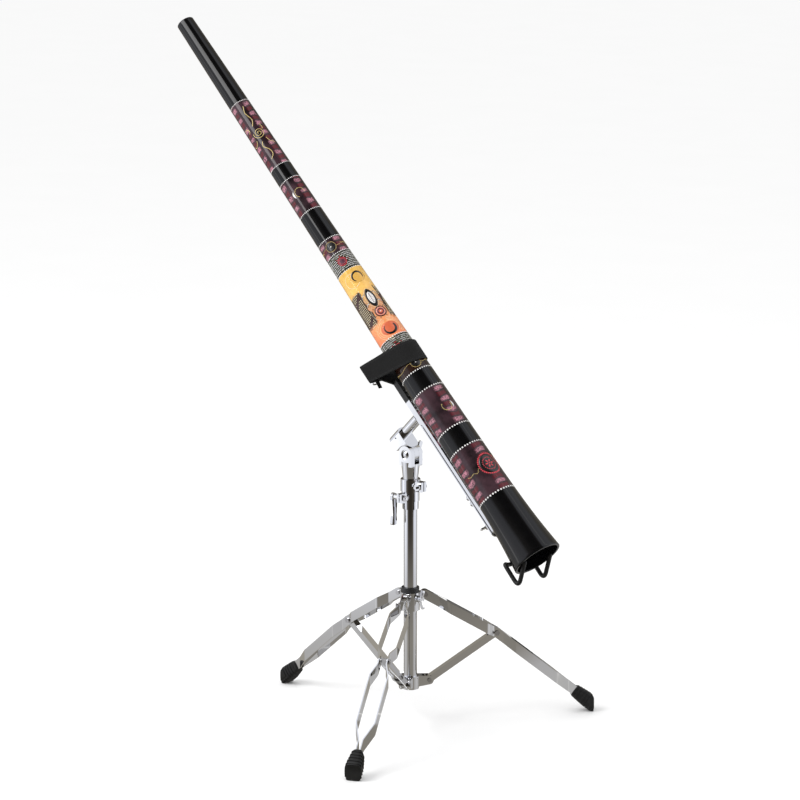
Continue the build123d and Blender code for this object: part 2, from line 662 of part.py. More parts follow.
def strap_outline(clearance):
    """The loop of the strap seen along the tube: around the tube and both tips of the yoke."""
    corner = 2.6
    level = RAIL_BOTTOM + PLATE_THICK / 2
    tip = BAR_HALF - 0.8
    return disc_hull(
        (0, 0, STRAP_RADIUS + clearance),
        (-tip, level, corner + clearance),
        (tip, level, corner + clearance),
    )


def strap():
    loop = strap_outline(STRAP_THICK) - strap_outline(0)
    band = extrude(Plane.YZ.offset(870).location * loop, 120)
    side_view = make_face(
        Polyline((894, -64), (937, -64), (960, 40), (909, 40), close=True)
    )
    return in_cradle(band & slab(side_view, -90, 90))


def strap_buckle():
    """Flat wire loop under the left end of the strap."""
    outline = RectangleRounded(16, 22, 4) - RectangleRounded(11.2, 17.2, 2)
    return in_cradle(extrude(Plane.XY.offset(-68.0).location * Pos(BAR_TO + 1, -46) * outline, 2.4))


def strap_tail():
    """Free end of the strap, lying in the buckle."""
    outline = span_face(BAR_TO - 2, BAR_TO + 19, -48, -37)
    outline = fillet(outline.vertices(), 3)
    return in_cradle(extrude(Plane.XY.offset(-65.4).location * outline, 1.6))


# ---------------------------------------------------------------- hook fork
def fork_path():
    """The path of one prong, from the middle of the cross bar to its tip."""
    return [
        (CROSS_STATION, 0, -59.5),
        (CROSS_STATION, PRONG_SIDE * 0.55, -57.0),
        (CROSS_STATION, PRONG_SIDE, -48.0),
        (CROSS_STATION + 57, PRONG_SIDE, -50.0),
        (CROSS_STATION + 30, PRONG_SIDE, -2.0),
    ]


def hook_fork():
    stem = [
        (STEM_START, 0, STEM_HEIGHT),
        (1358, 0, STEM_HEIGHT),
        (1392, 0, -59.5),
        (CROSS_STATION, 0, -59.5),
    ]
    prong = bent_rod(fork_path(), FORK_REACHES, FORK_RADIUS)
    return in_cradle(bent_rod(stem, (8, 8), FORK_RADIUS) + prong + mirror(prong, Plane.XZ))


def hook_sleeve():
    """Rubber sleeve over one prong, closed at its tip."""
    path = [Vector(*point) for point in fork_path()]
    cover = [path[0] + (path[1] - path[0]).normalized() * 6.0] + path[1:]
    tip = path[-1] + (path[-1] - path[-2]).normalized() * 2.0
    sleeve = bent_rod(cover[:-1] + [tip], FORK_REACHES, SLEEVE_RADIUS) + Pos(tip) * Sphere(SLEEVE_RADIUS)
    return sleeve - bent_rod(path, FORK_REACHES, FORK_RADIUS + RUN)


# ---------------------------------------------------------------- assembly
def all_parts():
    parts = {
        "didgeridoo": in_cradle(didgeridoo()),
        "base_tube": base_tube(),
        "upper_tube": upper_tube(),
        "height_clamp": height_clamp(),
        "clamp_liner": clamp_liner(),
        "clamp_nut": clamp_nut(),
        "clamp_lever": clamp_lever(),
        "memory_lock": memory_lock(),
        "memory_lock_screw": memory_lock_screw(),
        "memory_lock_nut": memory_lock_nut(),
        "lower_hub": lower_hub(),
        "lower_hub_pins": lower_hub_pins(),
        "leg_hub": leg_hub(),
        "leg_hub_bushing": leg_hub_bushing(),
        "leg_hub_pins": leg_hub_pins(),
        "leg_hub_wing_bolt": leg_hub_wing_bolt(),
        "stop_collar": stop_collar(),
        "stop_collar_screw": stop_collar_screw(),
        "tilter_fork": tilter_fork(),
        "tilter_block": tilter_block(),
        "tilter_set_screw": tilter_set_screw(),
        "tilter_bolt": tilter_bolt(),
        "tilter_washer": tilter_washer(),
        "tilter_wing_nut": tilter_wing_nut(),
        "post_tube": post_tube(),
        "post_plug": post_plug(),
        "rail_screws": rail_screws(),
        "rail_channel": rail_channel(),
        "keeper_strip": keeper_strip(),
        "rail_spacers": [rail_spacer(1068, 1084), rail_spacer(1241, 1270)],
        "rail_guides": rail_guides(),
        "keeper_bolts": keeper_bolts(),
        "keeper_nuts": keeper_nuts(),
        "rail_wing_screw": rail_wing_screw(),
        "yoke": yoke(),
        "splice_block": splice_block(),
        "saddle_block": saddle_block(),
        "saddle_pad": saddle_pad(),
        "strap": strap(),
        "strap_buckle": strap_buckle(),
        "strap_tail": strap_tail(),
        "hook_fork": hook_fork(),
        "hook_sleeve_left": in_cradle(hook_sleeve()),
        "hook_sleeve_right": in_cradle(mirror(hook_sleeve(), Plane.XZ)),
    }
    for side in LEG_ANGLES:
        parts[f"leg_{side}_strip_left"] = leg_strip(side, 1)
        parts[f"leg_{side}_strip_right"] = leg_strip(side, -1)
        parts[f"leg_{side}_rivets"] = leg_rivets(side)
        parts[f"leg_{side}_brace"] = brace(side)
        parts[f"leg_{side}_foot"] = rubber_foot(side)
    return parts


def solids_of(piece):
    """A piece, or a list of pieces, as its separate solids."""
    if isinstance(piece, list):
        return [solid for member in piece for solid in member.solids()]
    return list(piece.solids())


def centring(parts):
    """The move that puts the origin in the middle of the underside of everything."""
    boxes = [solid.bounding_box() for solids in parts.values() for solid in solids]
    low = [min(tuple(box.min)[axis] for box in boxes) for axis in range(3)]
    high = [max(tuple(box.max)[axis] for box in boxes) for axis in range(3)]
    return Location((-(low[0] + high[0]) / 2, -(low[1] + high[1]) / 2, -low[2]))


def main():
    os.makedirs("parts", exist_ok=True)
    parts = {name: solids_of(piece) for name, piece in all_parts().items()}
    shift = centring(parts)
    for name, solids in parts.items():
        moved = [solid.moved(shift) for solid in solids]
        shape = moved[0] if len(moved) == 1 else Compound(children=moved)
        shape.label = name
        export_step(shape, os.path.join("parts", name + ".step"))


if __name__ == "__main__":
    main()
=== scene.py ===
import json
import random
from math import atan2, cos, pi, radians, sin, sqrt

import bmesh
import bpy
import numpy as np
from mathutils import Matrix, Vector


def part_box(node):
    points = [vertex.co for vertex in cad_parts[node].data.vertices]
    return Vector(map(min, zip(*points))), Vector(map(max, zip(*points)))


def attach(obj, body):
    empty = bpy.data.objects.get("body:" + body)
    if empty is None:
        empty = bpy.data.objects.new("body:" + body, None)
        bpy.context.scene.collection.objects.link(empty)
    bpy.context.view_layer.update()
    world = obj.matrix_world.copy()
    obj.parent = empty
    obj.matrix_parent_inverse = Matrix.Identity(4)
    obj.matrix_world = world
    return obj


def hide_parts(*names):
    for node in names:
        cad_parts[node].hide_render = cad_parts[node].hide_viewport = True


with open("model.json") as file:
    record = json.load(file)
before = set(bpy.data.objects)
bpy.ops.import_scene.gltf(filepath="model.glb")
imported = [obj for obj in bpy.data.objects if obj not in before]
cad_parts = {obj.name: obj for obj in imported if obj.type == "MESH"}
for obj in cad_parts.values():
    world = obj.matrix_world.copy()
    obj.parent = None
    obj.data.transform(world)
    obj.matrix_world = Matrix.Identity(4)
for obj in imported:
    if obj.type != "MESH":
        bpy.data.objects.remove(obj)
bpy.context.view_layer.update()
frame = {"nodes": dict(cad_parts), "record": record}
dice = random.Random(7)

# ---- dimensions, in millimetres
MM = 0.001
TUBE_LENGTH = 1450.0
TUBE_PROFILE = [
    (0, 19.5), (350, 24.0), (700, 28.7), (1000, 36.2), (1290, 42.0), (1380, 46.6), (1450, 53.5),
]
TUBE_WALL = 5.0
MOUTH_BORE = (15.0, 25.0)       # radius and depth
BELL_BORE = (47.5, 12.0)        # radius and depth
LIP = 2.0                       # radius of the rounded ends
PITCH = radians(45)
PIVOT_HEIGHT = 591.0
PIVOT_STATION = 1083.0
PIVOT_DROP = 133.6
FACING = -49.0                  # the angle round the tube that faces the front, in degrees from its top

pole_low, pole_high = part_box("base_tube")
POLE = Vector(((pole_low.x + pole_high.x) / 2, (pole_low.y + pole_high.y) / 2, 0.0))
ALONG = Vector((cos(PITCH), 0, -sin(PITCH)))
ACROSS = Vector((0, 1, 0))
OUT = Vector((sin(PITCH), 0, cos(PITCH)))
MOUTH = POLE + MM * (Vector((0, 0, PIVOT_HEIGHT)) - ALONG * PIVOT_STATION + OUT * PIVOT_DROP)


def on_tube(s, y, h):
    """A point given along the tube, across it and away from the rail, in the row frame."""
    return MOUTH + MM * (ALONG * s + ACROSS * y + OUT * h)


# ---- the tube's outer line
def natural_spline(knots):
    """Second derivatives of the natural cubic spline through (x, y) knots."""
    x, y = np.array(knots, float).T
    n, h = len(x), np.diff(x)
    rows, right = np.eye(n), np.zeros(n)
    for i in range(1, n - 1):
        rows[i, i - 1:i + 2] = h[i - 1], 2 * (h[i - 1] + h[i]), h[i]
        right[i] = 6 * ((y[i + 1] - y[i]) / h[i] - (y[i] - y[i - 1]) / h[i - 1])
    return x, y, np.linalg.solve(rows, right)


TUBE_LINE = natural_spline(TUBE_PROFILE)


def tube_radius(s):
    """Outer radius of the tube at a station."""
    x, y, bend = TUBE_LINE
    i = int(np.clip(np.searchsorted(x, s) - 1, 0, len(x) - 2))
    h = x[i + 1] - x[i]
    a, b = (x[i + 1] - s) / h, (s - x[i]) / h
    return a * y[i] + b * y[i + 1] + ((a**3 - a) * bend[i] + (b**3 - b) * bend[i + 1]) * h * h / 6


def on_skin(s, angle, lift=0.0):
    """A point on the painted surface: station, angle in degrees from the top, lift in mm."""
    r = tube_radius(s) + lift
    return on_tube(s, r * sin(radians(angle)), r * cos(radians(angle)))


# ---- shader helpers
NOISE_ROUGHNESS = 0.55


def new_material(name, colour, roughness, metallic=0.0):
    material = bpy.data.materials.new(name)
    material.use_nodes = True
    shader = material.node_tree.nodes["Principled BSDF"]
    shader.inputs["Base Color"].default_value = (*colour, 1)
    shader.inputs["Roughness"].default_value = roughness
    shader.inputs["Metallic"].default_value = metallic
    return material, material.node_tree, shader


def plug(tree, socket, value):
    """Links a socket to a node's output, or sets it to a number."""
    if isinstance(value, bpy.types.NodeSocket):
        tree.links.new(value, socket)
    else:
        socket.default_value = value


def maths(tree, operation, *values, clamp=False):
    node = tree.nodes.new("ShaderNodeMath")
    node.operation = operation
    node.use_clamp = clamp
    for socket, value in zip(node.inputs, values):
        plug(tree, socket, value)
    return node.outputs[0]


def dot_with(tree, vector, direction):
    """The length of a vector along a direction."""
    node = tree.nodes.new("ShaderNodeVectorMath")
    node.operation = "DOT_PRODUCT"
    plug(tree, node.inputs[0], vector)
    node.inputs[1].default_value = direction
    return node.outputs["Value"]


def blend(tree, amount, first, second, mode="MIX"):
    node = tree.nodes.new("ShaderNodeMix")
    node.data_type = "RGBA"
    node.blend_type = mode
    plug(tree, node.inputs["Factor"], amount)
    for name, value in (("A", first), ("B", second)):
        socket = next(i for i in node.inputs if i.name == name and i.type == "RGBA")
        plug(tree, socket, (*value, 1) if isinstance(value, tuple) else value)
    return next(o for o in node.outputs if o.type == "RGBA")


def noise(tree, scale, detail=4.0, vector=None, warp=0.0):
    node = tree.nodes.new("ShaderNodeTexNoise")
    node.inputs["Scale"].default_value = scale
    node.inputs["Detail"].default_value = detail
    node.inputs["Roughness"].default_value = NOISE_ROUGHNESS
    node.inputs["Distortion"].default_value = warp
    if vector is None:
        vector = object_place(tree)
    tree.links.new(vector, node.inputs["Vector"])
    return node.outputs["Fac"]


def object_place(tree):
    return tree.nodes.new("ShaderNodeTexCoord").outputs["Object"]


def stretched(tree, vector, scale):
    node = tree.nodes.new("ShaderNodeMapping")
    node.inputs["Scale"].default_value = scale
    plug(tree, node.inputs["Vector"], vector)
    return node.outputs["Vector"]


def between(tree, value, low, high, to_low=0.0, to_high=1.0, smooth=False):
    """Moves a value from one range to another, and holds it at the ends."""
    node = tree.nodes.new("ShaderNodeMapRange")
    node.interpolation_type = "SMOOTHSTEP" if smooth else "LINEAR"
    plug(tree, node.inputs["Value"], value)
    node.inputs["From Min"].default_value = low
    node.inputs["From Max"].default_value = high
    node.inputs["To Min"].default_value = to_low
    node.inputs["To Max"].default_value = to_high
    return node.outputs["Result"]


def colour_ramp(tree, place, stops):
    """A colour that runs through (position, colour) stops."""
    node = tree.nodes.new("ShaderNodeValToRGB")
    ramp = node.color_ramp
    while len(ramp.elements) < len(stops):
        ramp.elements.new(0.5)
    for element, (position, colour) in zip(ramp.elements, stops):
        element.position = position
        element.color = (*colour, 1)
    tree.links.new(place, node.inputs["Fac"])
    return node.outputs["Color"]


def bump(tree, shader, height, strength, distance):
    node = tree.nodes.new("ShaderNodeBump")
    node.inputs["Strength"].default_value = strength
    node.inputs["Distance"].default_value = distance
    tree.links.new(height, node.inputs["Height"])
    tree.links.new(node.outputs["Normal"], shader.inputs["Normal"])


# ---- materials
def chrome():
    """Bright plating: a clear mirror with faint polishing haze and a few finger smudges."""
    material, tree, shader = new_material("chrome_plate", (0.83, 0.84, 0.86), 0.05, 1.0)
    haze = between(tree, noise(tree, 38, 5), 0.35, 0.75, 0.015, 0.05)
    smudge = between(tree, noise(tree, 9, 2, warp=1.2), 0.60, 0.74, 0.0, 0.05)
    tree.links.new(maths(tree, "ADD", haze, smudge), shader.inputs["Roughness"])
    tint = blend(tree, noise(tree, 14, 3), (0.80, 0.81, 0.84), (0.88, 0.88, 0.88))
    tree.links.new(tint, shader.inputs["Base Color"])
    bump(tree, shader, noise(tree, 40, 2), 0.012, 0.0004)
    return material


def zinc():
    """Bright zinc on small fasteners: greyer than the chrome, with drawn streaks."""
    material, tree, shader = new_material("zinc_plate", (0.6, 0.6, 0.62), 0.28, 1.0)
    streak = noise(tree, 260, 3, vector=stretched(tree, object_place(tree), (1, 1, 0.15)))
    tree.links.new(between(tree, streak, 0.3, 0.7, 0.18, 0.38), shader.inputs["Roughness"])
    tint = blend(tree, streak, (0.50, 0.50, 0.53), (0.68, 0.67, 0.66))
    tree.links.new(tint, shader.inputs["Base Color"])
    bump(tree, shader, streak, 0.12, 0.0003)
    return material


def enamel():
    """Satin black enamel on steel, with a fine orange-peel surface and rubbed spots."""
    material, tree, shader = new_material("black_enamel", (0.012, 0.012, 0.013), 0.42)
    peel = noise(tree, 420, 2)
    rub = between(tree, noise(tree, 30, 4), 0.5, 0.8, 0.36, 0.52)
    tree.links.new(rub, shader.inputs["Roughness"])
    tint = blend(tree, noise(tree, 55, 4), (0.009, 0.009, 0.010), (0.022, 0.021, 0.020))
    tree.links.new(tint, shader.inputs["Base Color"])
    bump(tree, shader, peel, 0.10, 0.0003)
    return material


def rubber():
    """Moulded black rubber: dull, slightly dusty in its hollows."""
    material, tree, shader = new_material("moulded_rubber", (0.010, 0.010, 0.010), 0.6)
    dust = between(tree, noise(tree, 26, 5), 0.52, 0.8)
    tint = blend(tree, dust, (0.004, 0.004, 0.004), (0.014, 0.014, 0.013))
    tree.links.new(tint, shader.inputs["Base Color"])
    tree.links.new(between(tree, noise(tree, 90, 3), 0.3, 0.7, 0.42, 0.66), shader.inputs["Roughness"])
    bump(tree, shader, noise(tree, 900, 3), 0.18, 0.0003)
    return material


def nylon():
    """Moulded black nylon with a light texture."""
    material, tree, shader = new_material("moulded_nylon", (0.014, 0.014, 0.015), 0.45)
    grain = noise(tree, 700, 2)
    tree.links.new(between(tree, grain, 0.3, 0.7, 0.38, 0.56), shader.inputs["Roughness"])
    tint = blend(tree, noise(tree, 60, 3), (0.011, 0.011, 0.012), (0.022, 0.022, 0.023))
    tree.links.new(tint, shader.inputs["Base Color"])
    bump(tree, shader, grain, 0.10, 0.0002)
    return material


WARP_PITCH = 0.0018
WEFT_PITCH = 0.0014


def webbing():
    """Black woven webbing: ribs across the band with warp threads along it, with painted shade in the
    weave's dips.
    """
    material, tree, shader = new_material("woven_webbing", (0.012, 0.012, 0.013), 0.85)
    place = object_place(tree)
    along = dot_with(tree, place, tuple(ALONG))
    across = dot_with(tree, place, (0.0, 1.0, 0.0))
    warp = maths(tree, "SINE", maths(tree, "MULTIPLY", along, 2 * pi / WARP_PITCH))
    weft = maths(tree, "SINE", maths(tree, "MULTIPLY", across, 2 * pi / WEFT_PITCH))
    weave = maths(tree, "ABSOLUTE", maths(tree, "MULTIPLY", warp, weft))
    fuzz = noise(tree, 1500, 3)
    height = maths(tree, "ADD", weave, maths(tree, "MULTIPLY", fuzz, 0.4))
    # Painted shade: the colour darkens in the weave's dips and is lighter on its crests; the fuzz adds
    # random tone.
    tint = blend(tree, height, (0.004, 0.004, 0.004), (0.012, 0.012, 0.012))
    tree.links.new(tint, shader.inputs["Base Color"])
    shader.inputs["Specular IOR Level"].default_value = 0.25
    shader.inputs["Sheen Weight"].default_value = 0.03
    shader.inputs["Sheen Roughness"].default_value = 0.5
    bump(tree, shader, height, 0.5, 0.0004)
    return material


def thread():
    """Thick sewing thread."""
    material, tree, shader = new_material("sewing_thread", (0.03, 0.03, 0.032), 0.7)
    twist = noise(tree, 2500, 2)
    tint = blend(tree, twist, (0.012, 0.012, 0.013), (0.035, 0.035, 0.036))
    tree.links.new(tint, shader.inputs["Base Color"])
    bump(tree, shader, twist, 0.4, 0.0002)
    return material


def paint(name, colour):
    """A raised acrylic paint colour: slightly uneven and thin at some places."""
    dark = tuple(0.75 * part for part in colour)
    material, tree, shader = new_material(name, colour, 0.35)
    tree.links.new(blend(tree, noise(tree, 240, 4), dark, colour), shader.inputs["Base Color"])
    tree.links.new(between(tree, noise(tree, 400, 2), 0.3, 0.7, 0.25, 0.45), shader.inputs["Roughness"])
    shader.inputs["Coat Weight"].default_value = 0.6
    shader.inputs["Coat Roughness"].default_value = 0.06
    bump(tree, shader, noise(tree, 800, 3), 0.15, 0.0002)
    return material


# ---- painted ground of the tube
RINGS = [239, 414, 454, 541, 619, 658, 703, 885, 977, 1023, 1124, 1174, 1294]
PLUM_PANELS = [(239, 414), (454, 541), (619, 658), (1023, 1124), (1174, 1294)]
DOT_PANELS = [(658, 703), (885, 924)]
BROWN_PANEL = (924, 977)
WARM_PANEL = (703, 885)
WARM_STOPS = [
    (0.0, (0.72, 0.43, 0.09)), (0.28, (0.84, 0.50, 0.14)), (0.45, (0.50, 0.27, 0.13)),
    (0.62, (0.62, 0.27, 0.13)), (0.78, (0.86, 0.33, 0.13)), (1.0, (0.84, 0.24, 0.10)),
]
DUSK_FIELD = (0.757, 0.846)     # stations of the dark fields' ends, in metres
PATCH_PITCH = 0.027             # from one pink patch to the next along the tube, in metres


def panel_mask(tree, station, panels):
    """1 inside any of the panels, 0 outside."""
    total = None
    for start, end in panels:
        inside = maths(
            tree, "MULTIPLY",
            maths(tree, "GREATER_THAN", station, start * MM),
            maths(tree, "LESS_THAN", station, end * MM),
        )
        total = inside if total is None else maths(tree, "ADD", total, inside)
    return total


def wander(tree, value, reach):
    """A noise value moved to lie round 0, and scaled to a reach."""
    return maths(tree, "MULTIPLY", maths(tree, "SUBTRACT", value, 0.5), reach)


def plum_ground(tree, place, station, angle):
    """Sponged patches of pink and dark red over a smoky plum, in rows along the tube."""
    smoke = between(tree, noise(tree, 24, 5, vector=place), 0.35, 0.65)
    ground = blend(tree, smoke, (0.006, 0.004, 0.005), (0.052, 0.026, 0.034))
    shift = wander(tree, noise(tree, 40, 3, vector=place), 3.4)
    phase = maths(tree, "MULTIPLY", station, 2 * pi / PATCH_PITCH)
    wave = maths(tree, "SINE", maths(tree, "ADD", phase, shift))
    turned = maths(tree, "ADD", maths(tree, "MULTIPLY", angle, 4.0), radians(40))
    rows = between(tree, maths(tree, "COSINE", turned), 0.0, 0.8, smooth=True)
    speckle = between(tree, noise(tree, 420, 3, vector=place), 0.36, 0.58)
    crest = maths(tree, "MULTIPLY", between(tree, wave, 0.05, 0.85, smooth=True), rows)
    pale = maths(tree, "MULTIPLY", crest, speckle)
    deep = maths(tree, "MULTIPLY", between(tree, wave, -0.1, -0.8, smooth=True), rows)
    patched = blend(tree, maths(tree, "MULTIPLY", deep, 0.85), ground, (0.105, 0.004, 0.010))
    rose = blend(tree, noise(tree, 18, 2, vector=place), (0.62, 0.20, 0.29), (0.50, 0.26, 0.31))
    return blend(tree, maths(tree, "MULTIPLY", pale, 0.9), patched, rose)


def warm_ground(tree, place, station):
    """Yellow ochre at the mouth end that turns to peach and orange towards the bell."""
    start, end = WARM_PANEL
    along = between(tree, station, start * MM, end * MM)
    wobble = wander(tree, noise(tree, 30, 3, vector=place), 0.35)
    colour = colour_ramp(tree, maths(tree, "ADD", along, wobble, clamp=True), WARM_STOPS)
    brushed = between(tree, noise(tree, 160, 4, vector=place), 0.3, 0.7, 0.86, 1.1)
    return blend(tree, 1.0, colour, brushed, mode="MULTIPLY")


def dusk_mask(tree, place, station, angle):
    """1 in the dark fields beside the figures, on the front and on the far side."""
    wobble = wander(tree, noise(tree, 45, 2, vector=place), 0.9)
    turned = maths(tree, "ADD", maths(tree, "MULTIPLY", angle, 2.0), radians(60))
    aside = maths(tree, "SUBTRACT", maths(tree, "ADD", 0.45, wobble), maths(tree, "COSINE", turned))
    beside = between(tree, aside, 0.0, 0.12)
    reach = maths(tree, "ADD", station, maths(tree, "MULTIPLY", wobble, 0.02))
    start, end = DUSK_FIELD
    after = between(tree, reach, start, start + 0.006)
    before = between(tree, reach, end, end - 0.008)
    return maths(tree, "MULTIPLY", beside, maths(tree, "MULTIPLY", after, before))


def tube_paint():
    """Black gloss with the painted panels, placed by station and by angle round the tube."""
    material, tree, shader = new_material("painted_tube", (0.004, 0.004, 0.005), 0.22)
    place = object_place(tree)
    station = maths(tree, "SUBTRACT", dot_with(tree, place, tuple(ALONG)), MOUTH.dot(ALONG))
    aside = maths(tree, "SUBTRACT", dot_with(tree, place, tuple(ACROSS)), MOUTH.dot(ACROSS))
    upward = maths(tree, "SUBTRACT", dot_with(tree, place, tuple(OUT)), MOUTH.dot(OUT))
    angle = maths(tree, "ARCTAN2", aside, upward)
    black = noise(tree, 50, 4, vector=place)
    colour = blend(tree, black, (0.0012, 0.0012, 0.0014), (0.0028, 0.0028, 0.0034))
    plum = plum_ground(tree, place, station, angle)
    colour = blend(tree, panel_mask(tree, station, PLUM_PANELS), colour, plum)
    dusk = blend(tree, noise(tree, 120, 3, vector=place), (0.006, 0.007, 0.004), (0.030, 0.028, 0.016))
    colour = blend(tree, panel_mask(tree, station, DOT_PANELS), colour, dusk)
    brown = blend(tree, noise(tree, 300, 3, vector=place), (0.006, 0.003, 0.002), (0.030, 0.010, 0.006))
    colour = blend(tree, panel_mask(tree, station, [BROWN_PANEL]), colour, brown)
    dark = blend(tree, noise(tree, 200, 3, vector=place), (0.010, 0.006, 0.003), (0.06, 0.03, 0.015))
    warm = blend(tree, dusk_mask(tree, place, station, angle), warm_ground(tree, place, station), dark)
    colour = blend(tree, panel_mask(tree, station, [WARM_PANEL]), colour, warm)
    tree.links.new(colour, shader.inputs["Base Color"])
    shader.inputs["Specular IOR Level"].default_value = 0.05
    shader.inputs["Coat Weight"].default_value = 0.75
    shader.inputs["Coat Roughness"].default_value = 0.03
    haze = between(tree, noise(tree, 60, 4, vector=place), 0.3, 0.7, 0.2, 0.34)
    tree.links.new(haze, shader.inputs["Roughness"])
    bump(tree, shader, noise(tree, 45, 2, vector=place), 0.04, 0.0006)
    return material


# ---- mesh helpers
def new_object(name, points, faces, material, body, smooth=True):
    mesh = bpy.data.meshes.new(name)
    mesh.from_pydata([tuple(p) for p in points], [], faces)
    mesh.materials.append(material)
    mesh.polygons.foreach_set("use_smooth", [smooth] * len(mesh.polygons))
    mesh.validate()
    piece = bpy.data.objects.new(name, mesh)
    bpy.context.scene.collection.objects.link(piece)
    if body:
        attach(piece, body)
    return piece


def face_outward(piece):
    """Turns a closed piece's faces so that they all look outward."""
    net = bmesh.new()
    net.from_mesh(piece.data)
    bmesh.ops.recalc_face_normals(net, faces=net.faces)
    net.to_mesh(piece.data)
    net.free()


def squared(value, power):
    """A sine or cosine pushed towards its ends, so that a circle becomes a rounded rectangle."""
    return np.sign(value) * abs(value) ** power


def caps(count, sides):
    """The two end faces of a tube of count points, stored ring by ring."""
    return [tuple(reversed(range(sides))), tuple(range(count - sides, count))]


def grid_faces(rows, columns, closed_rows=False, closed_columns=False, first=0):
    """Quads over a grid of points stored row by row."""
    faces = []
    for i in range(rows if closed_rows else rows - 1):
        for j in range(columns if closed_columns else columns - 1):
            i2, j2 = (i + 1) % rows, (j + 1) % columns
            faces.append((first + i * columns + j, first + i * columns + j2,
                          first + i2 * columns + j2, first + i2 * columns + j))
    return faces


# ---- instrument
SKIN_STEP = 6.0                 # between the outline's points outside
BORE_STEP = 10.0                # and inside
TUBE_TURNS = 160


def tube_outline():
    """Closed outline of the tube wall as (station, radius), with rounded lips."""
    mouth_r, mouth_depth = MOUTH_BORE
    bell_r, bell_depth = BELL_BORE
    outer = []
    lip_turn = [radians(90 - 15 * k) for k in range(7)]
    for turn in reversed(lip_turn):
        outer.append((LIP - LIP * cos(turn), tube_radius(LIP) - LIP + LIP * sin(turn)))
    outer += [(s, tube_radius(s)) for s in np.arange(10, TUBE_LENGTH - 2 * LIP, SKIN_STEP)]
    end = TUBE_LENGTH - LIP
    for turn in lip_turn:
        outer.append((end + LIP * cos(turn), tube_radius(end) - LIP + LIP * sin(turn)))
    for turn in reversed(lip_turn):
        outer.append((end + LIP * cos(turn), bell_r + LIP - LIP * sin(turn)))
    shoulder = TUBE_LENGTH - bell_depth
    inner = [(shoulder, bell_r)]
    for s in np.arange(TUBE_LENGTH - 30, 60, -BORE_STEP):
        uneven = 0.5 * sin(s / 37.0) - 1.0
        inner.append((s, tube_radius(s) - TUBE_WALL + uneven))
    inner += [(mouth_depth + 1, mouth_r + 0.5), (mouth_depth, mouth_r)]
    for turn in lip_turn:
        inner.append((LIP - LIP * cos(turn), mouth_r + LIP - LIP * sin(turn)))
    return outer + inner


def painted_tube(material):
    outline = tube_outline()
    turns = [2 * pi * k / TUBE_TURNS for k in range(TUBE_TURNS)]
    points = [on_tube(s, r * sin(turn), r * cos(turn)) for s, r in outline for turn in turns]
    faces = grid_faces(len(outline), TUBE_TURNS, closed_rows=True, closed_columns=True)
    tube = new_object("painted_tube", points, faces, material, "instrument")
    face_outward(tube)
    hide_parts("didgeridoo")
    return tube


SUNK = -0.05                    # how far a stroke's edge lies below the paint, in millimetres
DOT_SIDES = 8
BLOB_RINGS = 6
BLOB_SIDES = 40


class Brush:
    """Collects raised paint of one colour on the tube, as one mesh."""

    def __init__(self, name, material):
        self.name, self.material = name, material
        self.points, self.faces = [], []

    def place(self, centre, u, v, lift):
        """A point u mm round the tube and v mm towards the bell from a centre (station, angle)."""
        s = centre[0] + v
        return on_skin(s, centre[1] + np.degrees(u / tube_radius(s)), lift)

    def dot(self, centre, radius, u=0.0, v=0.0, height=0.35, long=1.0, turn=0.0):
        """A domed dot, or a dash where long is over 1; turn is its direction from the tube's axis."""
        first, sides = len(self.points), DOT_SIDES
        for share, lift in ((1.0, SUNK), (0.86, height * 0.55), (0.5, height)):
            for k in range(sides):
                a = 2 * pi * k / sides
                x, y = share * radius * cos(a), share * radius * long * sin(a)
                self.points.append(self.place(centre, u + x * cos(turn) - y * sin(turn),
                                              v + x * sin(turn) + y * cos(turn), lift))
        self.faces += [face[::-1] for face in grid_faces(3, sides, closed_columns=True, first=first)]
        self.faces.append(tuple(first + 2 * sides + k for k in reversed(range(sides))))

    def line(self, centre, path, width, height=0.22):
        """A ribbon along (u, v) points; width is a number, or a function of the share along."""
        first, n = len(self.points), len(path)
        for i, (u, v) in enumerate(path):
            before, after = path[max(i - 1, 0)], path[min(i + 1, n - 1)]
            du, dv = after[0] - before[0], after[1] - before[1]
            length = sqrt(du * du + dv * dv) or 1.0
            half = (width(i / (n - 1)) if callable(width) else width) / 2
            for side, lift in ((-1, SUNK), (-0.6, height), (0.6, height), (1, SUNK)):
                self.points.append(self.place(centre, u - dv / length * half * side,
                                              v + du / length * half * side, lift))
        self.faces += grid_faces(n, 4, first=first)

    def blob(self, centre, edge, height=0.15):
        """A flat patch whose edge(angle) gives its reach in (u, v)."""
        first, rings, sides = len(self.points), BLOB_RINGS, BLOB_SIDES
        self.points.append(self.place(centre, 0.0, 0.0, height))
        for ring in range(1, rings + 2):
            share = min(ring / rings, 1.0)
            lift = height if ring <= rings else SUNK
            for k in range(sides):
                x, y = edge(2 * pi * k / sides)
                self.points.append(self.place(centre, x * share, y * share, lift))
        self.faces += [(first, first + 1 + (k + 1) % sides, first + 1 + k) for k in range(sides)]
        self.faces += grid_faces(rings + 1, sides, closed_columns=True, first=first + 1)

    def dots_along(self, centre, path, radius, spacing):
        """Dots at even steps along a path of (u, v) points."""
        steps = [0.0]
        for a, b in zip(path, path[1:]):
            steps.append(steps[-1] + sqrt((b[0] - a[0]) ** 2 + (b[1] - a[1]) ** 2))
        for at in np.arange(0, steps[-1] + 0.01, spacing):
            u = float(np.interp(at, steps, [p[0] for p in path]))
            v = float(np.interp(at, steps, [p[1] for p in path]))
            self.dot(centre, radius * dice.uniform(0.88, 1.12), u, v)

    def finish(self):
        """Makes the mesh, which rides on the instrument."""
        return new_object(self.name, self.points, self.faces, self.material, "instrument")


def oval(width, length):
    """The edge of a blob that is an ellipse."""
    return lambda a: (width * cos(a), length * sin(a))


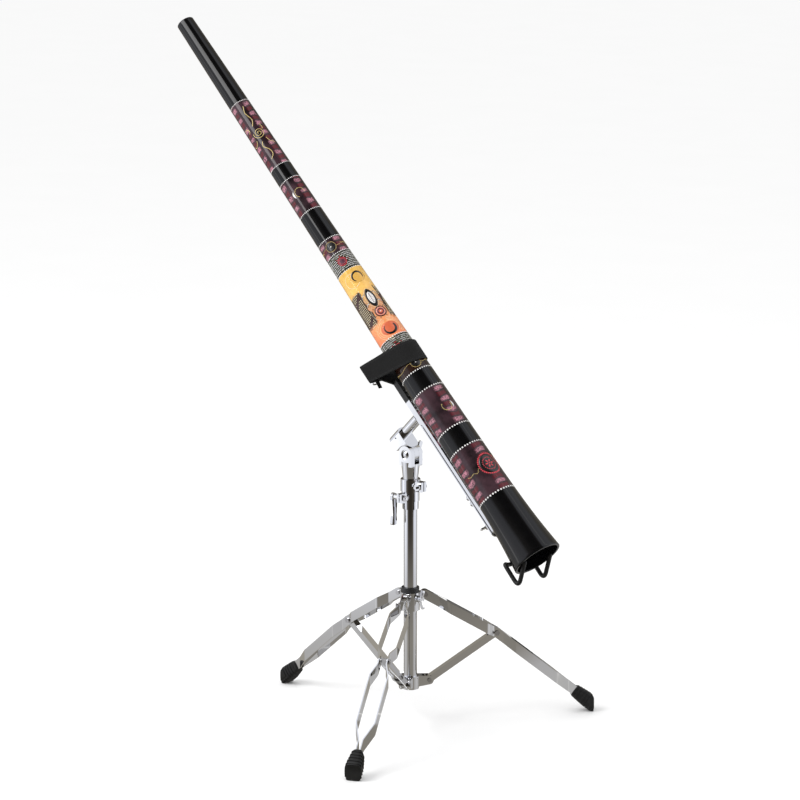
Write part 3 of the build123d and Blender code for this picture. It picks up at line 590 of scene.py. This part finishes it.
def arc(radius, start, end, steps=36, squeeze=1.0):
    """Points of an arc; degrees run from +u (round the tube) towards +v (the bell)."""
    turns = np.radians(np.linspace(start, end, steps))
    return [(radius * cos(t), radius * sin(t) * squeeze) for t in turns]


def wavy(points, steps=10):
    """A smooth line through a few (u, v) points."""
    ends = [points[0], *points, points[-1]]
    line = []
    for p0, p1, p2, p3 in zip(ends, ends[1:], ends[2:], ends[3:]):
        for k in range(steps):
            t = k / steps
            line.append(tuple(
                0.5 * (2 * b + (c - a) * t + (2 * a - 5 * b + 4 * c - d) * t * t
                       + (3 * b - a - 3 * c + d) * t**3)
                for a, b, c, d in zip(p0, p1, p2, p3)
            ))
    return line + [points[-1]]


RING_DOTS = 40


def ring_rows(white):
    """The thirteen rings of white dots."""
    for s in RINGS:
        spacing = 2 * pi * tube_radius(s) / RING_DOTS
        for k in range(RING_DOTS):
            station = s + dice.uniform(-0.25, 0.25)
            angle = 360 * k / RING_DOTS + dice.uniform(-0.5, 0.5)
            white.dot((station, angle), spacing * dice.uniform(0.29, 0.33), height=0.5)


def spiral_panel(gold, side):
    """A gold spiral with loose wavy lines around it."""
    centre = (326, FACING + 5 + side)
    spiral = []
    for t in np.linspace(0, 4.4 * pi, 90):
        reach = 1.2 + 0.86 * t
        spiral.append((reach * cos(t + 2.2), reach * sin(t + 2.2)))
    gold.line(centre, spiral, 1.3)
    strokes = [
        [(3, -73), (-2, -58), (-1, -50), (3, -34), (-4, -20)],
        [(-28, -22), (-20, -23), (-16, -15), (-20, -11)],
        [(-14, 13), (-17, 19), (-25, 24), (-30, 20)],
        [(-4, 22), (-8, 33), (0, 46), (1, 59), (-8, 68)],
        [(8, 17), (12, 27), (22, 34)],
        [(12, -20), (14, -10), (12, -6)],
    ]
    for stroke in strokes:
        gold.line(centre, wavy(stroke), 1.5)


def crescent_panel(gold, white, s, angle, opening, side, aside):
    """A dotted gold C with a white crescent beside it."""
    centre = (s, angle + side)
    gold.dots_along(centre, arc(11.0, opening + 58, opening + 302), 0.95, 2.4)
    crescent = arc(15.5, aside - 32, aside + 32, 20)
    white.line(centre, crescent, lambda t: 0.5 + 3.6 * sin(pi * t))


def looped_circle(gold, black, white, s, angle, side):
    """A gold dotted circle with a dark middle and a line of gold dots running round the tube."""
    centre = (s, angle + side)
    black.blob(centre, oval(10.2, 10.2), height=0.1)
    gold.dots_along(centre, arc(11.5, 0, 352), 0.8, 2.3)
    white.dot(centre, 1.5)
    for sign in (-1, 1):
        reach = [(sign * x, 3.0 * sin(x / 9.0) * sign) for x in np.linspace(12.5, 62, 30)]
        gold.dots_along(centre, reach, 0.7, 2.2)


DASH_ROW = 4.2
DASH_STEP = 3.1
HEART_CLEAR = 11.5
FAN_REACH = 36


def star_panel(white, sage, ruby, plum, first, last, middle):
    """Rows of pale dashes that fan out from a dark red heart."""
    rows = int((last - first - 6) / DASH_ROW)
    for row in range(rows):
        s = first + 5.5 + row * DASH_ROW
        count = int(2 * pi * tube_radius(s) / DASH_STEP)
        for k in range(count):
            angle = 360 * (k + 0.5 * (row % 2)) / count
            offset = (angle - FACING + 180) % 360 - 180
            u, v = radians(offset) * tube_radius(s), s - middle
            away = sqrt(u * u + v * v)
            if away < HEART_CLEAR:
                continue
            brush = dice.choice((white, white, white, sage, ruby if away < 17 else white))
            turn = atan2(-u, v) if away < FAN_REACH else 0.35 * sin(angle / 9.0)
            brush.dot((s, angle), 0.78, long=2.0, turn=turn, height=0.25)
    heart = (middle, FACING)
    plum.blob(heart, oval(8.0, 8.0))
    ruby.dots_along(heart, arc(6.4, 0, 345), 1.0, 2.6)
    ruby.dots_along(heart, arc(9.4, 0, 350), 1.3, 3.1)


def warm_panel(brushes, side):
    """Two black C shapes in discs, a leaf and a round motif, on the ochre and orange ground."""
    cream, black, white, rust, plum, ochre = brushes
    top, leaf = (727, -30 + side), (785, -32 + side)
    disc, low = (822, -30 + side), (865, -35 + side)
    ochre.blob(top, oval(17, 15), height=0.08)
    black.line(top, arc(11.5, 128, 388, 60), lambda t: 1.8 + 3.4 * sin(pi * t) ** 0.8)
    cream.line((731, -60 + side), arc(16.5, 40, 300), 1.0)
    cream.line((735, -14 + side), arc(19.0, -60, 70), 0.9)
    rust.blob(low, oval(20, 15), height=0.08)
    black.line(low, arc(12.5, -34, 228, 60), lambda t: 1.4 + 5.4 * sin(pi * t**0.55))
    for radius in (22.5, 27.0, 31.5):
        cream.dots_along(low, arc(radius, 100, 262, squeeze=0.8), 0.9, 2.6)
        cream.dots_along(low, arc(radius, -82, 40, squeeze=0.8), 0.9, 2.6)
    leaf_figure(leaf, cream, black, white, plum)
    round_figure(disc, cream, black, white, rust, plum)


def arc_at(u, v, radius, sign):
    """A curved stroke that leaves the point (u, v) sideways and bends towards the bell."""
    turns = np.radians(np.linspace(0, 95, 12))
    return [(u + sign * radius * sin(t), v + radius * (1 - cos(t))) for t in turns]


def leaf_figure(centre, cream, black, white, plum):
    """A pointed leaf with a pale blade and crossing veins."""
    def blade(width, length):
        return lambda a: (width * cos(a) * abs(cos(a)) ** 0.15, length * sin(a))

    black.blob(centre, blade(10.0, 23), height=0.12)
    for sign in (-1, 1):
        for v in (-13.0, 9.0):
            dark, pale = arc_at(sign * 9.0, v, 8.0, sign), arc_at(sign * 11.5, v + 1.2, 6.4, sign)
            black.line(centre, dark, lambda t: 2.6 * (1 - t) + 0.6)
            white.line(centre, pale, lambda t: 1.3 * (1 - t) + 0.3, height=0.3)
    white.blob(centre, blade(6.3, 15), height=0.2)
    plum.line(centre, [(0, v) for v in np.linspace(-13, 13, 14)], 1.2, height=0.32)
    for v in np.arange(-10, 10.1, 4.0):
        reach = 4.6 * sqrt(max(0.05, 1 - (v / 14) ** 2))
        plum.line(centre, [(-reach, v + 2.2), (0, v), (reach, v + 2.2)], 0.9, height=0.32)
    cream.dots_along(centre, [blade(12.4, 24)(a) for a in np.linspace(0, 2 * pi, 60)], 0.8, 2.6)


RAY_FROM = 14.6
RAY_TO = 18.6
RAY_SQUEEZE = 0.9


def round_figure(centre, cream, black, white, rust, plum):
    """Rings of colour around a middle dot, with four short rays on each side."""
    discs = ((13.0, black, 0.12), (10.6, rust, 0.2), (7.4, plum, 0.26), (4.4, rust, 0.32))
    for radius, brush, height in discs:
        brush.blob(centre, oval(radius, radius), height=height)
    white.dots_along(centre, arc(9.0, 0, 350), 0.75, 2.4)
    white.dot(centre, 1.7, height=0.55)
    for sign in (-1, 1):
        for k in range(4):
            turn = radians(24 + 20 * k)
            u, v = sign * cos(turn), (RAY_SQUEEZE if k % 2 == 0 else -RAY_SQUEEZE) * sin(turn)
            black.line(centre, [(RAY_FROM * u, RAY_FROM * v), (RAY_TO * u, RAY_TO * v)], 1.7)
    cream.dots_along(centre, arc(20.5, -60, 60), 0.75, 2.6)
    cream.dots_along(centre, arc(20.5, 120, 240), 0.75, 2.6)


DOT_GRID = 4.1


def dot_fields(cream, plum, side):
    """Dense dots that fill the middle of the warm panel beside the figures."""
    for s in np.arange(761, 845, DOT_GRID):
        figure_half = 19 + 2.8 * abs(sin((s - 752) / 34.0))
        for u in np.arange(-44, 44, DOT_GRID):
            angle = -30 + side + np.degrees(u / tube_radius(s))
            if abs(u) < figure_half:
                continue
            brush = plum if sin(s / 9.0 + u / 11.0) > 0.85 else cream
            brush.dot((s + dice.uniform(-0.4, 0.4), angle), 1.2, height=0.3)


def ember_badge(ruby, black, gold, side):
    """A round badge made of red dots in rings, with a gold dotted trail."""
    centre = (1231, -10 + side)
    black.blob(centre, oval(23, 23), height=0.1)
    ruby.dots_along(centre, arc(24.5, 0, 355), 1.9, 4.2)
    ruby.dots_along(centre, arc(14.5, 0, 352), 1.35, 4.0)
    for k in range(6):
        a = 2 * pi * k / 6
        ruby.dot(centre, 1.9, 6.6 * cos(a), 6.6 * sin(a), long=2.0, turn=a - pi / 2)
    ruby.dot(centre, 1.9)
    gold.dots_along(centre, wavy([(-28, 1), (-34, 8), (-42, 4), (-52, 6), (-60, 2)]), 0.85, 2.6)
    gold.dots_along(centre, wavy([(28, -12), (36, -24), (44, -30)]), 0.85, 2.6)


def paint_art():
    """Everything painted on the tube in relief, on the front and again on the far side."""
    brushes = {
        name: Brush("art_" + name, paint("paint_" + name, colour))
        for name, colour in {
            "white": (0.86, 0.85, 0.83), "cream": (0.86, 0.74, 0.48), "gold": (0.66, 0.50, 0.17),
            "black": (0.006, 0.005, 0.006), "ruby": (0.62, 0.03, 0.05), "rust": (0.72, 0.14, 0.05),
            "plum": (0.10, 0.02, 0.045), "sage": (0.33, 0.34, 0.25), "ochre": (0.76, 0.42, 0.07),
        }.items()
    }
    white, cream, gold, black, ruby, rust, plum, sage, ochre = brushes.values()
    ring_rows(white)
    for (first, last), middle in zip(DOT_PANELS, (681, 914)):
        star_panel(white, sage, ruby, plum, first, last, middle)
    for side in (0, 180):
        spiral_panel(gold, side)
        crescent_panel(gold, white, 494, -36, 70, side, 180)
        looped_circle(gold, black, white, 639, -56, side)
        warm_panel((cream, black, white, rust, plum, ochre), side)
        dot_fields(cream, plum, side)
        looped_circle(gold, black, white, 960, -28, side)
        crescent_panel(gold, white, 1077, -21, -80, side, 0)
        ember_badge(ruby, black, gold, side)
    for brush in brushes.values():
        brush.finish()


# ---- strap
STRAP_RADIUS = 36.2
TIP_HALF = 65.2
TIP_HEIGHT = -58.5
CORNER = 2.6
STRAP_THICK = 2.4
STRAP_STEPS = 360
STRAP_SIDES = 44
STRAP_GAP = 0.05                # clearance to what it lies on
STRAP_BELOW = (894.4, 936.6)    # first and last station at its underside
STRAP_LEAN = (15.0, 23.0)       # how far each edge lies towards the bell at its top
STRAP_LOW = -64.0               # height of the strap's underside
STRAP_RISE = 104.0              # from there to its top


def strap_path(count):
    """Even points round the strap's inner line as (y, h): the tube's top and the two yoke tips."""
    reach = sqrt(TIP_HALF**2 + TIP_HEIGHT**2)
    lean = atan2(TIP_HEIGHT, TIP_HALF) + np.arccos((STRAP_RADIUS - CORNER) / reach)
    points = [(STRAP_RADIUS * cos(a), STRAP_RADIUS * sin(a)) for a in np.linspace(lean, pi - lean, 60)]
    below = 3 * pi / 2
    for tip, start, end in ((-TIP_HALF, pi - lean, below), (TIP_HALF, below, 2 * pi + lean)):
        for turn in np.linspace(start, end, 14):
            points.append((tip + CORNER * cos(turn), TIP_HEIGHT + CORNER * sin(turn)))
    points.append(points[0])
    steps = np.concatenate([[0], np.cumsum(np.hypot(*np.diff(np.array(points), axis=0).T))])
    at = np.linspace(0, steps[-1], count, endpoint=False)
    ys = np.interp(at, steps, [p[0] for p in points])
    hs = np.interp(at, steps, [p[1] for p in points])
    return list(zip(ys, hs)), float(steps[-1])


def strap_span(h):
    """First and last station of the strap at a height: it leans towards the bell at its top."""
    t = (h - STRAP_LOW) / STRAP_RISE
    return STRAP_BELOW[0] + STRAP_LEAN[0] * t, STRAP_BELOW[1] + STRAP_LEAN[1] * t


def strap_frame(path, i):
    """A point of the strap's path with its outward normal and the stations of its two edges there."""
    y, h = path[i]
    before, after = path[i - 1], path[(i + 1) % len(path)]
    dy, dh = after[0] - before[0], after[1] - before[1]
    size = sqrt(dy * dy + dh * dh)
    first, last = strap_span(h)
    return y, h, dh / size, -dy / size, (first + last) / 2, (last - first) / 2


def strap_wave(y, h, i, flat_x):
    """How far the strap lifts where nothing holds it."""
    held = sqrt(y * y + h * h) <= STRAP_RADIUS + 3 or h <= TIP_HEIGHT + 6
    return 0.0 if held else 0.2 * sin(i / 7.0) * flat_x**2


def strap(material):
    """Woven band with soft edges, a slightly crowned middle and gentle waves where it isn't held."""
    path, length = strap_path(STRAP_STEPS)
    points = []
    for i in range(STRAP_STEPS):
        y, h, ny, nh, middle, half = strap_frame(path, i)
        for k in range(STRAP_SIDES):
            turn = 2 * pi * (k + 0.5) / STRAP_SIDES
            flat_x, flat_z = squared(cos(turn), 0.32), squared(sin(turn), 0.55)
            lift = STRAP_THICK / 2 * (1 + flat_z) + strap_wave(y, h, i, flat_x) + STRAP_GAP
            points.append(on_tube(middle + half * flat_x, y + ny * lift, h + nh * lift))
    faces = grid_faces(STRAP_STEPS, STRAP_SIDES, closed_rows=True, closed_columns=True)
    band = new_object("strap_band", points, faces, material, "cradle")
    face_outward(band)
    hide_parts("strap")
    return band, length


def strap_stitches(material):
    """Two rows of short stitches along each edge of the strap."""
    path, _ = strap_path(STRAP_STEPS)
    points, faces = [], []
    for i in range(0, STRAP_STEPS, 3):
        for inset in (-0.90, -0.78, 0.78, 0.90):
            y, h, ny, nh, middle, half = strap_frame(path, i)
            y2, h2 = path[(i + 2) % STRAP_STEPS]
            first = len(points)
            lift = STRAP_THICK + strap_wave(y, h, i, inset) - 0.06
            s = middle + half * inset
            for share, high in ((0.0, 0.0), (0.25, 0.28), (0.75, 0.28), (1.0, 0.0)):
                for side in (-0.32, 0.0, 0.32):
                    rise = lift + high * (1.0 if side == 0 else 0.4)
                    yy, hh = y + (y2 - y) * share, h + (h2 - h) * share
                    points.append(on_tube(s + side, yy + ny * rise, hh + nh * rise))
            faces += grid_faces(4, 3, first=first)
    seam = new_object("strap_stitches", points, faces, material, "cradle")
    return seam


def soft_band(name, stations, middle_y, width, height_at, thick, material):
    """A short flat band along the tube with rounded edges; height_at(share) is its underside."""
    around, points = 20, []
    for share in np.linspace(0, 1, 15):
        s = stations[0] + (stations[1] - stations[0]) * share
        close = min(1.0, 0.35 + 8 * share, 0.35 + 8 * (1 - share))
        for k in range(around):
            turn = 2 * pi * k / around
            x = squared(cos(turn), 0.4) * width / 2 * (0.93 + 0.07 * close)
            z = squared(sin(turn), 0.7) * thick / 2 * close
            points.append(on_tube(s, middle_y + x, height_at(share) + thick / 2 + z))
    faces = grid_faces(15, around, closed_columns=True) + caps(len(points), around)
    return new_object(name, points, faces, material, "cradle")


TAIL_STATIONS = (930.0, 951.0)
TAIL_SIDE = -42.5
TAIL_WIDTH = 11.0
TAIL_THICK = 1.6


def tail_height(share):
    """Underside of the strap's free end, which sags a little towards its tip."""
    return -65.4 - 2.2 * share * share


def strap_tail(material):
    """The strap's free end, where it comes out of the buckle."""
    tail = soft_band(
        "strap_free_end", TAIL_STATIONS, TAIL_SIDE, TAIL_WIDTH, tail_height, TAIL_THICK, material,
    )
    face_outward(tail)
    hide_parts("strap_tail")
    return tail


PAD_RADII = (35.4, 39.0)
PAD_STATIONS = (897.5, 930.5)
PAD_LIMIT = np.arccos(19.8 / 37.0) - radians(0.5)   # half the angle that the pad covers


def saddle_pad(material):
    """Foam lining of the saddle: soft rounded edges and a slightly pressed middle."""
    (inner, outer), (start, end) = PAD_RADII, PAD_STATIONS
    sweep, around, points = 41, 28, []
    for share in np.linspace(-1, 1, sweep):
        turn = pi + share * PAD_LIMIT
        close = min(1.0, 0.4 + 9 * (1 - abs(share)))
        for k in range(around):
            a = 2 * pi * k / around
            x = squared(cos(a), 0.35)
            z = squared(sin(a), 0.6) * close
            press = 0.18 * sin(9 * share) * (1 - x * x) if z < 0 else 0.0
            r = (inner + outer) / 2 + z * (outer - inner) / 2 + press
            s = (start + end) / 2 + x * (end - start) / 2
            points.append(on_tube(s, r * sin(turn), r * cos(turn)))
    faces = grid_faces(sweep, around, closed_columns=True) + caps(len(points), around)
    pad = new_object("saddle_foam", points, faces, material, "cradle")
    face_outward(pad)
    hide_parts("saddle_pad")
    return pad


# ---- rubber feet
LEG_ANGLES = {"front": -64.0, "right": 56.0, "left": 176.0}
LEG_END = Vector((373.0, 0.0, 40.1))
LEG_KNEE = Vector((188.0, 0.0, 190.0))
FOOT_START = -14.0
FOOT_LENGTH = 66.0
FOOT_WIDTH = (21.0, 35.0)
FOOT_DEPTH = (26.0, 33.0)
FOOT_FLARE = 36.0               # from its top to its full size
FOOT_REACH = 404.0              # furthest from the mast's axis
TOP_ROUND = 7.0
TOP_OPEN = 0.55                 # the top's size as a share of the section below it
TOE_ROUND = 11.0
RIB_PITCH = 7.6
RIB_DEEP = 1.5
FOOT_SIDES = 72
FOOT_STEPS = 92


def rounding(t, reach):
    """Rises from 0 to 1 over a reach, as a quarter of a circle does."""
    return sqrt(max(0.0, 1 - ((reach - t) / reach) ** 2)) if t < reach else 1.0


def foot_section(t):
    """Half width, half depth and groove depth of a foot at t mm from its top."""
    grow = min(1.0, t / FOOT_FLARE) ** 0.8
    top = TOP_OPEN + (1 - TOP_OPEN) * rounding(t, TOP_ROUND)
    shut = top * rounding(FOOT_LENGTH - t, TOE_ROUND) ** 0.6
    width = FOOT_WIDTH[0] + (FOOT_WIDTH[1] - FOOT_WIDTH[0]) * grow
    depth = FOOT_DEPTH[0] + (FOOT_DEPTH[1] - FOOT_DEPTH[0]) * grow
    in_groove = 0.5 - 0.5 * cos(2 * pi * t / RIB_PITCH) > 0.35
    groove = RIB_DEEP * min(1.0, t / 9.0) if in_groove else 0.0
    return width / 2 * shut, depth / 2 * shut, groove


def foot_ring(t):
    """Points round a foot as (across, up), with ribs across its top and along its lower sides."""
    wide, deep, groove = foot_section(t)
    ring = []
    for k in range(FOOT_SIDES):
        a = 2 * pi * k / FOOT_SIDES
        x, y = squared(cos(a), 0.45), squared(sin(a), 0.45)
        cut = groove
        if abs(x) > 0.97 and t > FOOT_FLARE:
            cut = RIB_DEEP if sin(y * 9.0) > 0.45 else 0.0
        ring.append(((wide - cut) * x, (deep - cut) * y))
    return ring


def rubber_foot(side, material):
    """Ribbed rubber foot, cut flat where it stands on the floor."""
    fall = (LEG_END - LEG_KNEE).normalized()
    rise = fall.cross(Vector((0, 1, 0)))
    rise = rise if rise.z > 0 else -rise
    turn = Matrix.Rotation(radians(LEG_ANGLES[side]), 3, "Z")
    steps = np.linspace(0.0, FOOT_LENGTH - 0.05, FOOT_STEPS)
    points = []
    for t in steps:
        middle = LEG_END + fall * (FOOT_START + t)
        for across, up in foot_ring(t):
            place = middle + rise * up
            place.x = min(place.x, FOOT_REACH)
            place.y = across
            points.append(POLE + MM * (turn @ place))
    faces = grid_faces(FOOT_STEPS, FOOT_SIDES, closed_columns=True) + caps(len(points), FOOT_SIDES)
    foot = new_object(f"{side}_foot_rubber", points, faces, material, f"leg_{side}")
    net = bmesh.new()
    net.from_mesh(foot.data)
    cut = bmesh.ops.bisect_plane(
        net, geom=net.verts[:] + net.edges[:] + net.faces[:],
        plane_co=(0, 0, 0), plane_no=(0, 0, 1), clear_inner=True,
    )
    edges = [item for item in cut["geom_cut"] if isinstance(item, bmesh.types.BMEdge)]
    bmesh.ops.edgeloop_fill(net, edges=edges)
    bmesh.ops.recalc_face_normals(net, faces=net.faces)
    net.to_mesh(foot.data)
    net.free()
    foot.data.set_sharp_from_angle(angle=radians(40))
    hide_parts(f"leg_{side}_foot")
    return foot


# ---- CAD pieces with their finishes
def dress_cad(nodes, finishes):
    """Gives CAD pieces the finish of their material slot and a fine bevel."""
    slots = {part["node"]: part["material_slot"] for part in frame["record"]["subparts"]}
    for name in nodes:
        piece = frame["nodes"][name]
        piece.data.materials.clear()
        piece.data.materials.append(finishes[slots[name]])
        edge = piece.modifiers.new("edge", "BEVEL")
        edge.width = 0.5 * MM
        edge.segments = 2
        edge.limit_method = "ANGLE"
        edge.angle_limit = radians(40)


# ---- stage
FLOOR_HALF = 40.0


def studio():
    """White surroundings and a pale floor."""
    world = bpy.data.worlds.new("studio")
    world.use_nodes = True
    world.node_tree.nodes["Background"].inputs["Color"].default_value = (1.0, 1.0, 1.0, 1)
    world.node_tree.nodes["Background"].inputs["Strength"].default_value = 1.02
    bpy.context.scene.world = world
    bpy.context.scene.view_settings.view_transform = "Standard"
    floor_material, tree, shader = new_material("pale_floor", (0.93, 0.93, 0.93), 0.9)
    tint = blend(tree, noise(tree, 3, 3), (0.92, 0.92, 0.92), (0.94, 0.94, 0.94))
    tree.links.new(tint, shader.inputs["Base Color"])
    shader.inputs["Specular IOR Level"].default_value = 0.0
    corners = [(-1, -1), (1, -1), (1, 1), (-1, 1)]
    points = [(FLOOR_HALF * x, FLOOR_HALF * y, 0) for x, y in corners]
    floor = new_object("floor", points, [(0, 1, 2, 3)], floor_material, None)


CAMERA_TURN = radians(42.955)
CAMERA_RISE = radians(12.135)
CAMERA_PLACE = POLE + Vector((4.5436, -4.9125, 2.1451))
BACK = Vector((
    sin(CAMERA_TURN) * cos(CAMERA_RISE), -cos(CAMERA_TURN) * cos(CAMERA_RISE), sin(CAMERA_RISE),
))
RIGHT = Vector((cos(CAMERA_TURN), sin(CAMERA_TURN), 0))
UP = BACK.cross(RIGHT)


def camera():
    """The photograph's own view."""
    lens = bpy.data.cameras.new("camera")
    lens.lens = 147.0
    lens.sensor_width = 36.0
    lens.clip_end = 200.0
    view = bpy.data.objects.new("camera", lens)
    bpy.context.scene.collection.objects.link(view)
    view.matrix_world = Matrix((
        (RIGHT.x, UP.x, BACK.x, CAMERA_PLACE.x),
        (RIGHT.y, UP.y, BACK.y, CAMERA_PLACE.y),
        (RIGHT.z, UP.z, BACK.z, CAMERA_PLACE.z),
        (0, 0, 0, 1),
    ))
    bpy.context.scene.camera = view


KEY_PLACE = POLE + Vector((-1.5, -3.0, 3.6))
KEY_AIM = POLE + Vector((0, 0, 0.7))


def lights():
    """One soft key light from the front left."""
    key = bpy.data.lights.new("key", "AREA")
    key.size = 2.5
    key.energy = 90
    lamp = bpy.data.objects.new("key", key)
    bpy.context.scene.collection.objects.link(lamp)
    lamp.location = KEY_PLACE
    lamp.rotation_mode = "QUATERNION"
    lamp.rotation_quaternion = (KEY_PLACE - KEY_AIM).to_track_quat("Z", "Y")


# Stops of the room's glow: half turns round the stand from the viewer's side, and the colour there.
ROOM = [
    (0.00, (0.030, 0.025, 0.020)), (0.14, (0.040, 0.034, 0.027)), (0.26, (0.12, 0.105, 0.09)),
    (0.32, (0.74, 0.76, 0.84)), (0.475, (0.90, 0.92, 0.98)), (0.485, (1.9, 1.9, 1.9)),
    (0.495, (1.9, 1.9, 1.9)), (0.505, (0.86, 0.88, 0.94)), (0.66, (0.74, 0.76, 0.82)),
    (0.74, (0.40, 0.37, 0.32)), (0.88, (0.28, 0.26, 0.22)), (1.0, (0.10, 0.09, 0.08)),
]
ROOM_RADIUS = 9.0
ROOM_HEIGHT = 8.0
ROOM_FLOOR = 0.002
ROOM_TURNS = 96


def room_glow():
    """The room's glow: dark behind the viewer, pale at the sides, dim at the back and by the stand."""
    material = bpy.data.materials.new("studio_room")
    material.use_nodes = True
    tree = material.node_tree
    tree.nodes.clear()
    place = object_place(tree)
    forward = Vector((BACK.x, BACK.y, 0)).normalized()
    ahead = maths(tree, "SUBTRACT", dot_with(tree, place, tuple(forward)), POLE.dot(forward))
    aside = maths(tree, "SUBTRACT", dot_with(tree, place, tuple(RIGHT)), POLE.dot(RIGHT))
    turn = maths(tree, "DIVIDE", maths(tree, "ABSOLUTE", maths(tree, "ARCTAN2", aside, ahead)), pi)
    round_about = colour_ramp(tree, turn, ROOM)
    squares = [maths(tree, "MULTIPLY", part, part) for part in (ahead, aside)]
    away = maths(tree, "SQRT", maths(tree, "ADD", *squares))
    near = between(tree, away, 0.5, 1.9, 0.7, 0.0, smooth=True)
    colour = blend(tree, near, round_about, (0.34, 0.32, 0.28))
    glow = tree.nodes.new("ShaderNodeEmission")
    tree.links.new(colour, glow.inputs["Color"])
    output = tree.nodes.new("ShaderNodeOutputMaterial")
    tree.links.new(glow.outputs[0], output.inputs["Surface"])
    return material


def reflected_room():
    """A round room that shows only in reflections: its floor, wall and ceiling."""
    outline = [(r, ROOM_FLOOR) for r in (0.05, 0.3, 0.6, 1.0, 1.6, 2.5, 4.0, 6.5, ROOM_RADIUS)]
    outline.append((ROOM_RADIUS, ROOM_HEIGHT / 2))
    outline += [(r, ROOM_HEIGHT) for r in (ROOM_RADIUS, 4.0, 0.05)]
    turns = [2 * pi * k / ROOM_TURNS for k in range(ROOM_TURNS)]
    points = [POLE + Vector((r * cos(turn), r * sin(turn), z)) for r, z in outline for turn in turns]
    faces = grid_faces(len(outline), ROOM_TURNS, closed_columns=True)
    room = new_object("reflected_room", points, faces, room_glow(), None, smooth=False)
    room.visible_camera = False
    room.visible_diffuse = False
    room.visible_shadow = False


# ---- build
studio()
camera()
lights()
reflected_room()
finishes = {
    "chrome": chrome(), "zinc_steel": zinc(), "black_steel": enamel(),
    "black_rubber": rubber(), "black_plastic": nylon(),
}
woven = webbing()
tube = painted_tube(tube_paint())
paint_art()
band, band_length = strap(woven)
seam = strap_stitches(thread())
tail = strap_tail(woven)
pad = saddle_pad(finishes["black_rubber"])
replaced = {"didgeridoo", "strap", "strap_tail", "saddle_pad"}
for side in LEG_ANGLES:
    rubber_foot(side, finishes["black_rubber"])
    replaced.add(f"leg_{side}_foot")
dress_cad([n for n in frame["nodes"] if n not in replaced], finishes)
